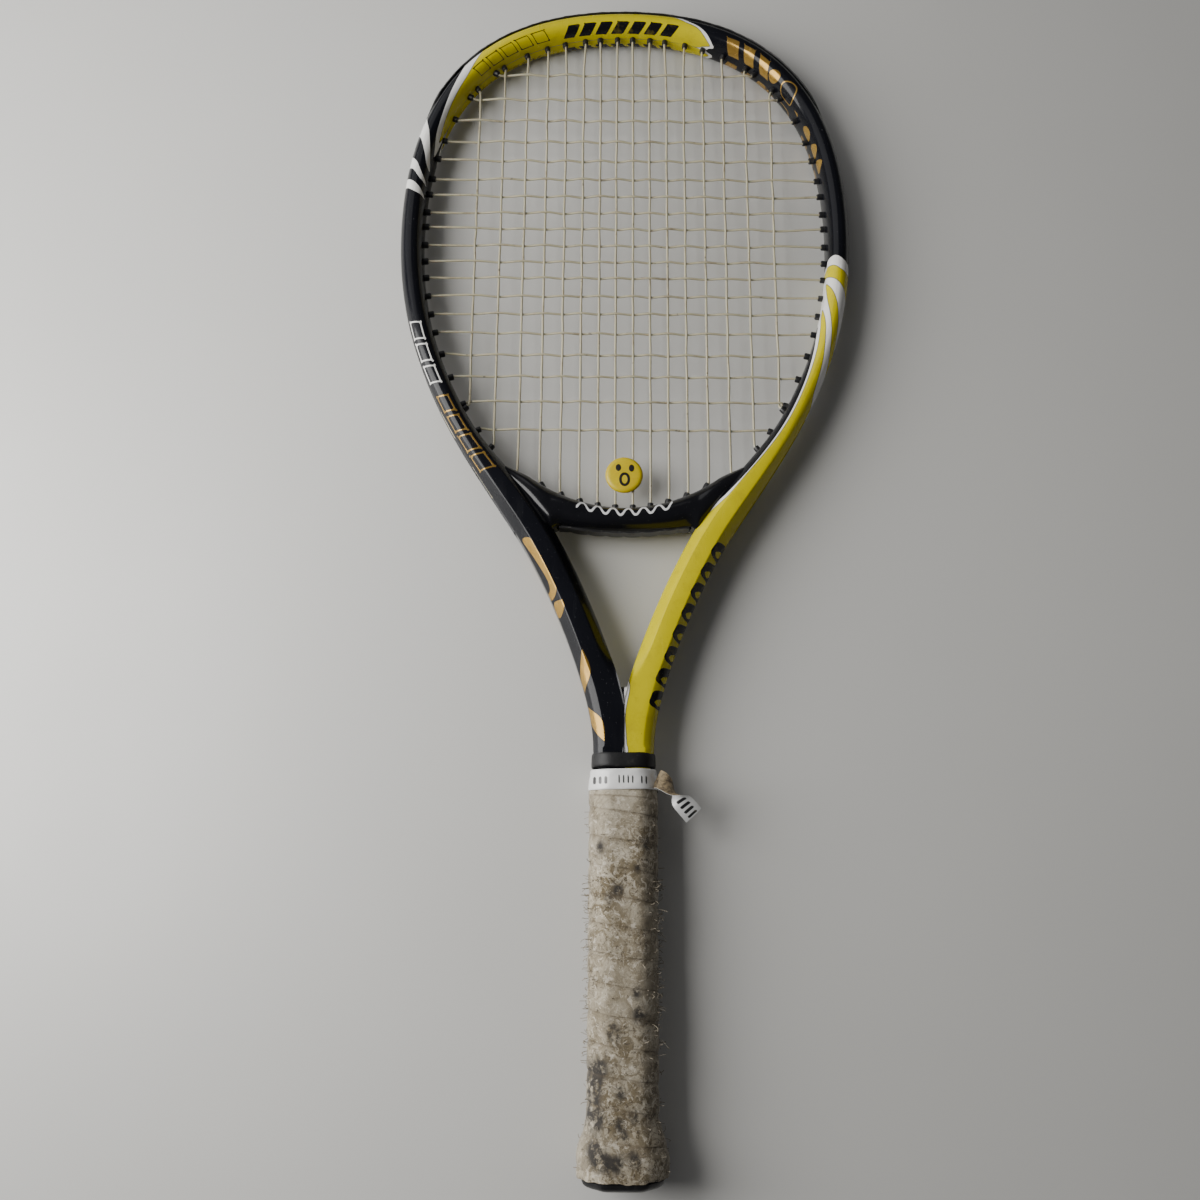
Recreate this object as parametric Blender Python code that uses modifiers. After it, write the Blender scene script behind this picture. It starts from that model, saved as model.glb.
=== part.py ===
"""A 27-inch adult tennis racket, strung and gripped, lying face up.

Frame: +Y runs from the butt to the tip, +X to the right and +Z up, square to the string bed.
The origin is under the middle of the bounding box, on the surface that the butt flare stands on.
Everything is drawn in millimetres about the handle's centre line and scaled to metres on the way out.
"""

import math

import bmesh
import bpy
import numpy as np

MM = 0.001
GAP = 0.3  # clearance between touching pieces

# Overall
TOTAL_LENGTH = 685.8
HEAD_HALF_WIDTH = 135.4
BUTT_HALF_HEIGHT = 21.0
BUTT_HALF_WIDTH = 23.3
MID_Y = TOTAL_LENGTH / 2
LONG = TOTAL_LENGTH / 685.8  # against the adult length that the lengthwise places are drawn at
WIDE = HEAD_HALF_WIDTH / 135.4  # against the head width that the crosswise places are drawn at

# Carbon frame: the outer outline is three Bezier stretches, from the tip to the shaft
BUMPER_PROUD = 1.6
WIDEST_Y = 530.0 * LONG
TIP_HANDLE = 96.7 * WIDE
SHOULDER_HANDLE = 92.5 * LONG
FLANK_HANDLE = 86.7 * LONG
ARM_X = 62.1 * WIDE
ARM_Y = 339.6 * LONG
ARM_SLOPE = math.atan(0.6445 * WIDE / LONG)
ARM_HANDLE_UP = 67.0 * LONG
ARM_HANDLE_DOWN = 38.6 * LONG
SHAFT_HALF_WIDTH = 17.1
SHAFT_TOP_Y = 218.0 * LONG
SHAFT_HANDLE = 28.0 * LONG
HAIRPIN_HALF_WIDTH = 11.0
HAIRPIN_TOP_Y = 192.0 * LONG
HAIRPIN_END_Y = 13.0
HOOP_WIDTH = 13.0
ARM_WIDTH = 19.8
HOOP_WIDTH_ENDS_Y = 405.0 * LONG
ARM_WIDTH_STARTS_Y = 338.0 * LONG
BEAM = (
    (HAIRPIN_TOP_Y, 19.0),
    (SHAFT_TOP_Y, 23.0),
    (330.0 * LONG, 25.5),
    (WIDEST_Y, 25.0),
    (640.0 * LONG, 23.0),
    (TOTAL_LENGTH, 22.5),
)
WALL = 1.6
GROOVE_DEPTH = 3.2
GROOVE_HALF = 4.6
GROOVE_ENDS_Y = 352.0 * LONG
GROOVE_FADES_Y = 338.0 * LONG
CROTCH_TOP_Y = 275.0 * LONG
CROTCH_Y = 250.0 * LONG
CROTCH_LOW_Y = 232.0 * LONG
CENTRE_SLIT = 0.15

# Throat bridge
BRIDGE_HALF = 58.5 * WIDE
BRIDGE_TAPER = 5.0
BRIDGE_LOW_Y = 340.5 * LONG
BRIDGE_HIGH_Y = BRIDGE_LOW_Y + 14.0
BRIDGE_FILLET_X = 28.0 * WIDE
BRIDGE_FILLET_RUN = 13.0
BRIDGE_FILLET_DROP = 11.0
BRIDGE_HEIGHT = 22.0
HEAD_INNER_HALF = HEAD_HALF_WIDTH - HOOP_WIDTH - 0.7

# Strings
MAINS = 16
CROSSES = 19
STRING_RADIUS = 0.65
MAIN_STEP = 10.1 * WIDE
MAIN_SPREAD = 0.0365 * WIDE
CROSS_MIDDLE_Y = 523.5 * LONG
CROSS_STEP = 11.0 * LONG
CROSS_SPREAD = 0.029 * LONG
WEAVE_LIFT = 2 * STRING_RADIUS + GAP

# Grommets
STRIP_THICKNESS = 1.0
STRIP_HALF = 4.2
BARREL_BORE = STRING_RADIUS + 0.27
BARREL_RADIUS = BARREL_BORE + 0.58
BARREL_PROUD = 2.0
BARREL_NORMAL_SHARE = 0.65
BEND_CLEAR = 0.6  # how far inside a barrel's mouth its string starts to bend
HOLE_OVERRUN = 4.0
BUMPER_END_Y = 603.0 * LONG
THROAT_STRIP_HALF = 36.0 * WIDE
BRIDGE_MAINS = 10
BRIDGE_FAN = 0.007  # how far the bridge barrels lean in towards the middle, for each mm out
CHANNEL_DEPTH = GROOVE_DEPTH - STRIP_THICKNESS - 2 * GAP - STRING_RADIUS  # of a string outside a strip
CHANNEL_SIDE = 1.6

# Vibration dampener
DAMPENER_Y = BRIDGE_HIGH_Y + 20.5
DAMPENER_RADIUS = 10.8
DAMPENER_THICKNESS = 5.0
DAMPENER_SLOT = 1.3

# Handle: octagons given by half width, half height
PALLET = (15.9, 13.9)
PALLET_TOP_Y = 186.0 * LONG
PALLET_BOTTOM_Y = 6.5
CAP_SEAT = (13.9, 11.9)
CAP_SEAT_Y = 33.0
CAP_LIP = (BUTT_HALF_WIDTH - 2.7, BUTT_HALF_HEIGHT - 2.7)
CAP_END_CHAMFER = 4.5
CAP_FLOOR = 4.2
GRIP_BOTTOM_Y = 4.5
GRIP_TOP_Y = PALLET_TOP_Y + 11.0
BASE_GRIP_WALL = 1.5
OVERGRIP_WALL = 0.7
TAPE_WALL = 0.35
FLARE_TOP_Y = 34.0
FLARE_FULL_Y = 13.0
COLLAR_Y = (SHAFT_TOP_Y - 11.0, SHAFT_TOP_Y - 3.5)
COLLAR_WALL = 1.3
OVERGRIP_TAPE_Y = (GRIP_TOP_Y - 4.0, GRIP_TOP_Y + 8.0)
BASE_TAPE_Y = (PALLET_TOP_Y + 1.0, PALLET_TOP_Y + 11.0)
TAIL_WIDTH = 11.0
TRAP_DOOR_RADIUS = 10.5
TRAP_PLUG_RADIUS = 8.5
TRAP_SEAT_DEPTH = 1.6
STAPLE_SPAN = 9.0
STAPLE_WIRE = 0.8
STAPLE_REACH = 4.2
STAPLE_Y = 26.0
TACK_Y = 22.0


# ---------------------------------------------------------------- scene and meshes


def start_scene():
    for old in list(bpy.data.objects):
        bpy.data.objects.remove(old)
    groups = []
    for name in ("tennis_racket", "cutters"):
        group = bpy.data.collections.new(name)
        bpy.context.scene.collection.children.link(group)
        groups.append(group)
    return groups


PARTS, CUTTERS = start_scene()


def material(name, colour, roughness, metallic=0.0):
    found = bpy.data.materials.new(name)
    found.use_nodes = True
    shader = found.node_tree.nodes["Principled BSDF"]
    shader.inputs["Base Color"].default_value = (*colour, 1.0)
    shader.inputs["Roughness"].default_value = roughness
    shader.inputs["Metallic"].default_value = metallic
    return found


def to_world(point):
    """Millimetres from the butt along the handle's centre line to metres in the racket's frame."""
    return (point[0] * MM, (point[1] - MID_Y) * MM, (point[2] + BUTT_HALF_HEIGHT) * MM)


def add_object(name, bm, finish=None):
    """A bmesh becomes a part when it has a finish, and a hidden cutter when it has none."""
    bmesh.ops.recalc_face_normals(bm, faces=bm.faces)
    mesh = bpy.data.meshes.new(name)
    bm.to_mesh(mesh)
    bm.free()
    thing = bpy.data.objects.new(name, mesh)
    if finish is None:
        thing.hide_render = True
        thing.display_type = "WIRE"
        CUTTERS.objects.link(thing)
        return thing
    mesh.shade_smooth()
    mesh.set_sharp_from_angle(angle=math.radians(35))
    mesh.materials.append(finish)
    PARTS.objects.link(thing)
    return thing


def boolean(thing, other, operation="DIFFERENCE"):
    modifier = thing.modifiers.new(other.name, "BOOLEAN")
    modifier.operation = operation
    modifier.object = other


def loft(rings, bm=None):
    """A closed body through rings of equal count, with a cap on each end."""
    bm = bm or bmesh.new()
    loops = [[bm.verts.new(to_world(p)) for p in ring] for ring in rings]
    for low, high in zip(loops, loops[1:]):
        for i in range(len(low)):
            j = (i + 1) % len(low)
            bm.faces.new((low[i], low[j], high[j], high[i]))
    bm.faces.new(loops[0][::-1])
    bm.faces.new(loops[-1])
    return bm


def sleeve(outer, inner):
    """An open tube: outer rings out, inner rings back, and flat annular ends."""
    bm = bmesh.new()
    rings = list(outer) + list(inner)[::-1]
    loops = [[bm.verts.new(to_world(p)) for p in ring] for ring in rings]
    for low, high in zip(loops, loops[1:] + loops[:1]):
        for i in range(len(low)):
            j = (i + 1) % len(low)
            bm.faces.new((low[i], low[j], high[j], high[i]))
    return bm


def box(low, high, bm=None):
    corners = [(low[0], low[2]), (high[0], low[2]), (high[0], high[2]), (low[0], high[2])]
    return loft([[(x, y, z) for x, z in corners] for y in (low[1], high[1])], bm)


def prism(bm, start, end, radius, sides=5):
    """A polygonal rod between two points of the string plane's space."""
    start, end = np.array(start, float), np.array(end, float)
    along = (end - start) / np.linalg.norm(end - start)
    up = np.array((0.0, 0.0, 1.0))
    across = np.cross(along, up)
    turns = [2 * math.pi * (i + 0.5) / sides for i in range(sides)]
    ring = [radius * (math.cos(t) * across + math.sin(t) * up) for t in turns]
    return loft([[p + r for r in ring] for p in (start, end)], bm)


# ---------------------------------------------------------------- frame outline


def bezier(p0, p1, p2, p3, steps):
    p0, p1, p2, p3 = (np.array(p, float) for p in (p0, p1, p2, p3))
    t = np.linspace(0.0, 1.0, steps + 1)[:, None]
    return (1 - t) ** 3 * p0 + 3 * (1 - t) ** 2 * t * p1 + 3 * (1 - t) * t**2 * p2 + t**3 * p3


def half_outline(detail=1):
    """The right half of the frame's outer outline, from the tip down to the hairpin's end."""
    lean = np.array((math.sin(ARM_SLOPE), math.cos(ARM_SLOPE)))
    tip = np.array((0.0, TOTAL_LENGTH - BUMPER_PROUD))
    side = np.array((HEAD_HALF_WIDTH, WIDEST_Y))
    arm = np.array((ARM_X, ARM_Y))
    shaft = np.array((SHAFT_HALF_WIDTH, SHAFT_TOP_Y))
    hairpin = np.array((HAIRPIN_HALF_WIDTH, HAIRPIN_TOP_Y))
    half_drop = (SHAFT_TOP_Y - HAIRPIN_TOP_Y) / 2
    stretches = (
        (tip, tip + (TIP_HANDLE, 0), side + (0, SHOULDER_HANDLE), side, 16),
        (side, side - (0, FLANK_HANDLE), arm + lean * ARM_HANDLE_UP, arm, 14),
        (arm, arm - lean * ARM_HANDLE_DOWN, shaft + (0, SHAFT_HANDLE), shaft, 8),
        (shaft, shaft - (0, half_drop), hairpin + (0, half_drop), hairpin, 3),
    )
    pieces = [bezier(a, b, c, d, steps * detail)[:-1] for a, b, c, d, steps in stretches]
    return np.vstack(pieces + [hairpin[None], [(HAIRPIN_HALF_WIDTH, HAIRPIN_END_Y)]])


def inward_normals(line):
    along = np.gradient(line, axis=0)
    along[0] = (1.0, 0.0)
    along /= np.linalg.norm(along, axis=1)[:, None]
    return np.stack((along[:, 1], -along[:, 0]), axis=1)


def tube_width(y):
    share = np.clip((HOOP_WIDTH_ENDS_Y - y) / (HOOP_WIDTH_ENDS_Y - ARM_WIDTH_STARTS_Y), 0.0, 1.0)
    return HOOP_WIDTH + (ARM_WIDTH - HOOP_WIDTH) * share * share * (3 - 2 * share)


def beam_half(y):
    return np.interp(y, *zip(*BEAM)) / 2


def groove_depth(y):
    return GROOVE_DEPTH * np.clip((y - GROOVE_FADES_Y) / (GROOVE_ENDS_Y - GROOVE_FADES_Y), 0.0, 1.0)


def tube_section(width, half, groove, flat, grow=0.0):
    """(depth from the outer face, height) round the tube; flat squares the side that meets its twin."""
    upper = [
        (groove, GROOVE_HALF),
        (0.0, GROOVE_HALF + 0.8),
        (0.10 * width, 0.66 * half),
        (0.38 * width, half),
        ((0.74 + 0.16 * flat) * width, (0.93 + 0.07 * flat) * half),
        ((0.97 + 0.03 * flat) * width, (0.52 + 0.36 * flat) * half),
    ]
    lower = [(depth, -height) for depth, height in upper[::-1]]
    ring = upper + [(width, 0.0)] + lower
    middle = width / 2
    out = []
    for depth, height in ring:
        reach = math.hypot(depth - middle, height)
        stretch = 1 + grow / reach
        out.append((middle + (depth - middle) * stretch, height * stretch))
    return out


def bore_section(width, half, groove, flat):
    """The hollow inside the laminate, one wall in from the outer face."""
    upper = [
        (groove + WALL, 0.45 * half),
        (0.42 * width, half - WALL - 0.4),
        (0.74 * width, (0.90 + 0.08 * flat) * half - WALL),
        (width - WALL, 0.40 * half),
    ]
    return upper + [(depth, -height) for depth, height in upper[::-1]]


def frame_rings(section, clamp, run_out=0.0, **options):
    """Sections from the left hairpin end, round the head, to the right hairpin end."""
    line = half_outline()
    normals = inward_normals(line)
    if run_out:
        line[-1, 1] -= run_out
    right = []
    for (x, y), inward in zip(line, normals):
        flat = float(np.clip((CROTCH_TOP_Y - y) / (CROTCH_TOP_Y - CROTCH_Y), 0.0, 1.0))
        width, groove = float(tube_width(y)), float(groove_depth(y))
        if y < SHAFT_TOP_Y:
            width = x - CENTRE_SLIT
        ring = section(width, float(beam_half(y)), groove, flat, **options)
        points = [(x + inward[0] * d, y + inward[1] * d, h) for d, h in ring]
        if y < CROTCH_TOP_Y:
            points = [(max(px, clamp), py, pz) for px, py, pz in points]
        right.append(points)
    left = [[(-px, py, pz) for px, py, pz in ring] for ring in right[:0:-1]]
    return left + right


# ---------------------------------------------------------------- where the strings cross the frame


class Grommet:
    """One barrel: its inner mouth, its outward axis and where its string leaves on the outside."""

    def __init__(self, mouth, axis, reach, width, place):
        self.mouth = np.array(mouth, float)
        self.axis = np.array(axis, float) / np.linalg.norm(axis)
        self.reach = reach  # distance along the axis from the mouth to the outer face
        self.width = width  # the wall's own width there
        self.place = place  # ("hoop", side, index) or ("bridge", x)

    def at(self, distance, z=0.0):
        """A point on the axis, measured outwards from the inner wall."""
        x, y = self.mouth + self.axis * distance
        return (x, y, z)

    def at_depth(self, depth):
        """The point on the axis that lies a given depth inside the outer face."""
        distance = self.reach * (1 - depth / self.width)
        if self.place[0] == "bridge":
            for _ in range(6):
                x, y, _ = self.at(distance)
                distance += (y - bridge_low(x)) - depth
        return self.at(distance)


OUTLINE = half_outline(detail=12)
INWARD = inward_normals(OUTLINE)
WIDTHS = tube_width(OUTLINE[:, 1])
INNER_LINE = OUTLINE + INWARD * WIDTHS[:, None]
WIDEST_INDEX = int(np.argmax(OUTLINE[:, 0]))


def hoop_grommet(side, index, direction):
    """A barrel through the tube, leaning a little from the wall's normal towards its string."""
    flip = np.array((side, 1.0))
    normal = -INWARD[index] * flip
    axis = BARREL_NORMAL_SHARE * normal + (1 - BARREL_NORMAL_SHARE) * np.array(direction, float)
    axis /= np.linalg.norm(axis)
    width = WIDTHS[index]
    return Grommet(INNER_LINE[index] * flip, axis, width / float(axis @ normal), width, ("hoop", side, index))


def nearest(values, target, low, high):
    return low + int(np.argmin(np.abs(values[low:high] - target)))


def aimed_grommet(side, target, along, low, high):
    """The barrel whose string leaves its mouth on the line that the string follows across the bed.

    along is the string's direction outwards; the line is x = target for a main, y = target for a cross.
    """
    coordinate = 0 if along[0] == 0 else 1
    wanted = target
    for _ in range(3):
        found = hoop_grommet(side, nearest(INNER_LINE[:, coordinate], wanted, low, high), along)
        bend = found.at(-BARREL_PROUD - BEND_CLEAR)[coordinate]
        wanted += target - (bend * side if coordinate == 0 else bend)
    return found


def bridge_low(x):
    """The bridge's throat side: a fillet down into each arm, then up inside the arm along its slope."""
    over = max(abs(x) - BRIDGE_FILLET_X, 0.0)
    past = max(over - BRIDGE_FILLET_RUN, 0.0)
    share = min(over / BRIDGE_FILLET_RUN, 1.0)
    return BRIDGE_LOW_Y - BRIDGE_FILLET_DROP * share * share + past / math.tan(ARM_SLOPE)


def bridge_high(x):
    """The bridge's string side, an ellipse that carries on the hoop's inner line."""
    height = WIDEST_Y - BRIDGE_HIGH_Y
    taper = max(abs(x) - BRIDGE_HALF + BRIDGE_TAPER, 0.0) / BRIDGE_TAPER
    return WIDEST_Y - height * math.sqrt(1 - (x / HEAD_INNER_HALF) ** 2) - 4.0 * taper**2


def bridge_grommet(x):
    """A barrel through the bridge, leaning in towards the middle and aimed at the main at x."""
    foot_x = x * (1 - BRIDGE_FAN * abs(x))
    foot = np.array((foot_x, bridge_low(foot_x)))
    mouth_x = x
    for _ in range(3):
        mouth = np.array((mouth_x, bridge_high(mouth_x)))
        reach = float(np.linalg.norm(foot - mouth))
        found = Grommet(mouth, foot - mouth, reach, mouth[1] - foot[1], ("bridge", foot_x))
        mouth_x += x - found.at(-BARREL_PROUD - BEND_CLEAR)[0]
    return found


def throat_stations(end):
    """Places along the bridge: coarse over its straight middle, fine round its fillets."""
    half = [*np.linspace(0.0, BRIDGE_FILLET_X, 4), *np.linspace(BRIDGE_FILLET_X, end, 5)[1:]]
    return [-x for x in half[:0:-1]] + half


def main_x(k):
    """Mains open out from the middle: k runs from 0 at the left to MAINS - 1 at the right."""
    place = k - (MAINS - 1) / 2
    return MAIN_STEP * place + MAIN_SPREAD * place**3


def cross_y(j):
    """Crosses from the tip end, j = 0, to the throat end."""
    place = (CROSSES - 1) / 2 - j
    return CROSS_MIDDLE_Y + CROSS_STEP * place + CROSS_SPREAD * place**3


def main_grommets(k):
    x = main_x(k)
    side = math.copysign(1.0, x)
    top = aimed_grommet(side, abs(x), (0, 1), 0, WIDEST_INDEX)
    if abs(k - (MAINS - 1) / 2) < BRIDGE_MAINS / 2:
        return bridge_grommet(x), top
    return aimed_grommet(side, abs(x), (0, -1), WIDEST_INDEX, len(INNER_LINE) - 1), top


def cross_grommets(j):
    y = cross_y(j)
    return tuple(aimed_grommet(side, y, (side, 0), 0, len(INNER_LINE) - 1) for side in (-1.0, 1.0))


MAIN_GROMMETS = [main_grommets(k) for k in range(MAINS)]
CROSS_GROMMETS = [cross_grommets(j) for j in range(CROSSES)]
ALL_GROMMETS = [g for pair in MAIN_GROMMETS + CROSS_GROMMETS for g in pair]


# ---------------------------------------------------------------- frame and bridge


def shaft_web():
    """What joins the two legs: a thin wall down the shaft that opens into the solid crotch."""
    thin = CENTRE_SLIT + 0.25
    stations = ((HAIRPIN_END_Y, thin), (CROTCH_LOW_Y, thin), (CROTCH_Y - 6.0, 2.6), (CROTCH_Y, 5.0))
    rings = []
    for y, half in stations:
        high = 0.8 * float(beam_half(y))
        rings.append([(-half, y, -high), (half, y, -high), (half, y, high), (-half, y, high)])
    return loft(rings)


def make_frame(finish):
    frame = add_object("frame_tube", loft(frame_rings(tube_section, CENTRE_SLIT)), finish)
    bore = loft(frame_rings(bore_section, CENTRE_SLIT + WALL, run_out=3.0))
    boolean(frame, add_object("frame_bore", bore))
    boolean(frame, add_object("shaft_web", shaft_web()), "UNION")
    holes = bmesh.new()
    for grommet in ALL_GROMMETS:
        if grommet.place[0] == "hoop":
            prism(holes, grommet.at(-HOLE_OVERRUN), grommet.at(grommet.reach + HOLE_OVERRUN), BARREL_RADIUS + GAP)
    boolean(frame, add_object("frame_string_holes", holes))
    return frame


def make_bridge(finish):
    rings = []
    groove_end = THROAT_STRIP_HALF + 2 * GAP
    right = [groove_end + 0.5, *np.linspace(groove_end + 3.0, BRIDGE_HALF, 7)]
    for x in [-place for place in right[::-1]] + throat_stations(groove_end) + right:
        low, high = bridge_low(x), bridge_high(x)
        groove = GROOVE_DEPTH if abs(x) <= groove_end else 0.0
        ring = tube_section(high - low, BRIDGE_HEIGHT / 2, groove, 0.0)
        rings.append([(x, low + depth, height) for depth, height in ring])
    bridge = add_object("throat_bridge", loft(rings), finish)
    seat = loft(frame_rings(tube_section, CENTRE_SLIT, grow=GAP))
    boolean(bridge, add_object("bridge_seat", seat))
    holes = bmesh.new()
    for grommet in ALL_GROMMETS:
        if grommet.place[0] == "bridge":
            prism(holes, grommet.at(-HOLE_OVERRUN), grommet.at(grommet.reach + HOLE_OVERRUN), BARREL_RADIUS + GAP)
    boolean(bridge, add_object("bridge_string_holes", holes))


# ---------------------------------------------------------------- bumper and grommet strips


def strip_section():
    inner, outer = GROOVE_DEPTH - GAP, GROOVE_DEPTH - GAP - STRIP_THICKNESS
    return [(inner, -STRIP_HALF), (inner, STRIP_HALF), (outer, STRIP_HALF), (outer, -STRIP_HALF)]


def bumper_section():
    """A base in the groove and two flanges that cover the frame's edges."""
    inner, outer = GROOVE_DEPTH - GAP, GROOVE_DEPTH - GAP - STRIP_THICKNESS
    upper = [
        (inner, STRIP_HALF),
        (-0.4, GROOVE_HALF + 0.5),
        (0.95, GROOVE_HALF + 3.5),
        (0.1, GROOVE_HALF + 4.3),
        (-BUMPER_PROUD, GROOVE_HALF + 1.2),
        (-BUMPER_PROUD, GROOVE_HALF - 0.2),
        (outer, STRIP_HALF - 0.6),
    ]
    return upper + [(depth, -height) for depth, height in upper[::-1]]


def outline_rings(indices, side, section):
    rings = []
    for i in indices:
        (x, y), inward = OUTLINE[i], INWARD[i]
        rings.append([(side * (x + inward[0] * d), y + inward[1] * d, h) for d, h in section])
    return rings


def add_barrels(strip, name, grommets):
    barrels, bores = bmesh.new(), bmesh.new()
    for grommet in grommets:
        seat = grommet.at_depth(GROOVE_DEPTH - GAP - STRIP_THICKNESS / 2)
        prism(barrels, grommet.at(-BARREL_PROUD), seat, BARREL_RADIUS)
        prism(bores, grommet.at(-BARREL_PROUD - 2.0), grommet.at(grommet.reach + 3.0), BARREL_BORE)
    boolean(strip, add_object(name + "_barrels", barrels), "UNION")
    boolean(strip, add_object(name + "_bores", bores))


def on_hoop(side, low, high):
    """The hoop's grommets on one side whose outline height lies between two values."""
    found = [g for g in ALL_GROMMETS if g.place[0] == "hoop" and g.place[1] == side]
    return [g for g in found if low <= OUTLINE[g.place[2], 1] < high]


def make_strips(finish):
    end = nearest(OUTLINE[:, 1], BUMPER_END_Y, 0, WIDEST_INDEX)
    halves = [outline_rings(np.linspace(0, end, 15).astype(int), side, bumper_section()) for side in (-1, 1)]
    bumper = add_object("bumper_guard", loft(halves[0][:0:-1] + halves[1]), finish)
    add_barrels(bumper, "bumper", on_hoop(-1, BUMPER_END_Y, 999) + on_hoop(1, BUMPER_END_Y, 999))
    start = nearest(OUTLINE[:, 1], BUMPER_END_Y - 1.0, 0, WIDEST_INDEX)
    stop = nearest(OUTLINE[:, 1], GROOVE_ENDS_Y + 2.0, WIDEST_INDEX, len(OUTLINE) - 1)
    for side, name in ((-1, "left_grommet_strip"), (1, "right_grommet_strip")):
        rings = outline_rings(np.linspace(start, stop, 24).astype(int), side, strip_section())
        strip = add_object(name, loft(rings), finish)
        add_barrels(strip, name, on_hoop(side, 0, BUMPER_END_Y))
    rings = []
    for x in throat_stations(THROAT_STRIP_HALF):
        rings.append([(x, bridge_low(x) + depth, height) for depth, height in strip_section()])
    strip = add_object("throat_grommet_strip", loft(rings), finish)
    add_barrels(strip, "throat_grommet_strip", [g for g in ALL_GROMMETS if g.place[0] == "bridge"])


# ---------------------------------------------------------------- strings


def channel_point(place, z):
    if place[0] == "bridge":
        return (place[1], bridge_low(place[1]) + CHANNEL_DEPTH, z)
    _, side, index = place
    x, y = OUTLINE[index] + INWARD[index] * CHANNEL_DEPTH
    return (side * x, y, z)


def outside_loop(first, second, z):
    """Points along the outer channel between two neighbouring barrels."""
    shares = (0.3, 0.7)
    if first.place[0] == "bridge":
        a, b = first.place[1], second.place[1]
        places = [("bridge", a + (b - a) * share) for share in shares]
    else:
        a, b = (exit_index(g) for g in (first, second))
        places = [("hoop", first.place[1], int(round(a + (b - a) * share))) for share in shares]
    return [channel_point(place, z) for place in places]


def exit_index(grommet):
    """The outline index nearest to where a barrel's string comes out."""
    x, y, _ = grommet.at_depth(CHANNEL_DEPTH)
    away = (OUTLINE[:, 0] - abs(x)) ** 2 + (OUTLINE[:, 1] - y) ** 2
    return int(np.argmin(away))


def tail(grommet, z, step):
    """A short end tucked along the channel, away from the string's first or last barrel."""
    index = exit_index(grommet)
    return [channel_point(("hoop", grommet.place[1], index + step * n), z) for n in (3, 6)]


def through(grommet, inside_first):
    points = [grommet.at(-BARREL_PROUD - BEND_CLEAR), grommet.at_depth(CHANNEL_DEPTH)]
    return points if inside_first else points[::-1]


def main_route():
    route = tail(MAIN_GROMMETS[0][0], CHANNEL_SIDE, -1)[::-1]
    for k in range(MAINS):
        ends = MAIN_GROMMETS[k] if k % 2 == 0 else MAIN_GROMMETS[k][::-1]
        route += through(ends[0], False) + through(ends[1], True)
        if k + 1 < MAINS:
            low_or_top = 1 if k % 2 == 0 else 0
            route += outside_loop(ends[1], MAIN_GROMMETS[k + 1][low_or_top], CHANNEL_SIDE)
    return route + tail(MAIN_GROMMETS[-1][0], CHANNEL_SIDE, -1)


def cross_route():
    route = tail(CROSS_GROMMETS[0][0], -CHANNEL_SIDE, -1)[::-1]
    for j in range(CROSSES):
        ends = CROSS_GROMMETS[j] if j % 2 == 0 else CROSS_GROMMETS[j][::-1]
        limit = abs(ends[0].at(-BARREL_PROUD - BEND_CLEAR)[0]) - STRING_RADIUS
        woven = [(main_x(k), cross_y(j), weave_side(k, j)) for k in range(MAINS) if abs(main_x(k)) < limit]
        route += through(ends[0], False) + (woven if j % 2 == 0 else woven[::-1]) + through(ends[1], True)
        if j + 1 < CROSSES:
            after = CROSS_GROMMETS[j + 1][1 if j % 2 == 0 else 0]
            route += outside_loop(ends[1], after, -CHANNEL_SIDE)
    return route + tail(CROSS_GROMMETS[-1][1], -CHANNEL_SIDE, 1)


def weave_side(k, j):
    return WEAVE_LIFT if (k + j) % 2 else -WEAVE_LIFT


def make_string(name, route, finish):
    """A tensioned string as a bevelled curve along its whole route, made a mesh with welded caps."""
    curve = bpy.data.curves.new(name, "CURVE")
    curve.dimensions = "3D"
    curve.bevel_depth = STRING_RADIUS * MM
    curve.bevel_resolution = 0
    curve.use_fill_caps = True
    spline = curve.splines.new("POLY")
    spline.points.add(len(route) - 1)
    for point, place in zip(spline.points, route):
        point.co = (*to_world(place), 1.0)
    guide = bpy.data.objects.new(name + "_curve", curve)
    bpy.context.scene.collection.objects.link(guide)
    bpy.context.view_layer.update()
    evaluated = guide.evaluated_get(bpy.context.evaluated_depsgraph_get())
    bm = bmesh.new()
    bm.from_mesh(bpy.data.meshes.new_from_object(evaluated))
    bmesh.ops.remove_doubles(bm, verts=bm.verts, dist=0.00001)
    bpy.data.objects.remove(guide)
    add_object(name, bm, finish)


# ---------------------------------------------------------------- vibration dampener


def make_dampener(finish):
    """A rubber button: a face and a back joined by a neck that the two middle mains pinch."""
    half = DAMPENER_THICKNESS / 2
    slot = STRING_RADIUS + DAMPENER_SLOT / 2
    neck = main_x(MAINS // 2) - STRING_RADIUS - GAP
    profile = [
        (0.0, half + slot),
        (DAMPENER_RADIUS * 0.82, half + slot),
        (DAMPENER_RADIUS, half + slot - 1.2),
        (DAMPENER_RADIUS, slot + 0.8),
        (DAMPENER_RADIUS * 0.9, slot),
        (neck, slot),
        (neck, -slot),
        (DAMPENER_RADIUS * 0.62, -slot),
        (DAMPENER_RADIUS * 0.66, -slot - 1.6),
        (0.0, -slot - 1.6),
    ]
    turned("vibration_dampener", profile, (0.0, DAMPENER_Y, 0.0), finish, steps=24)


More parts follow.
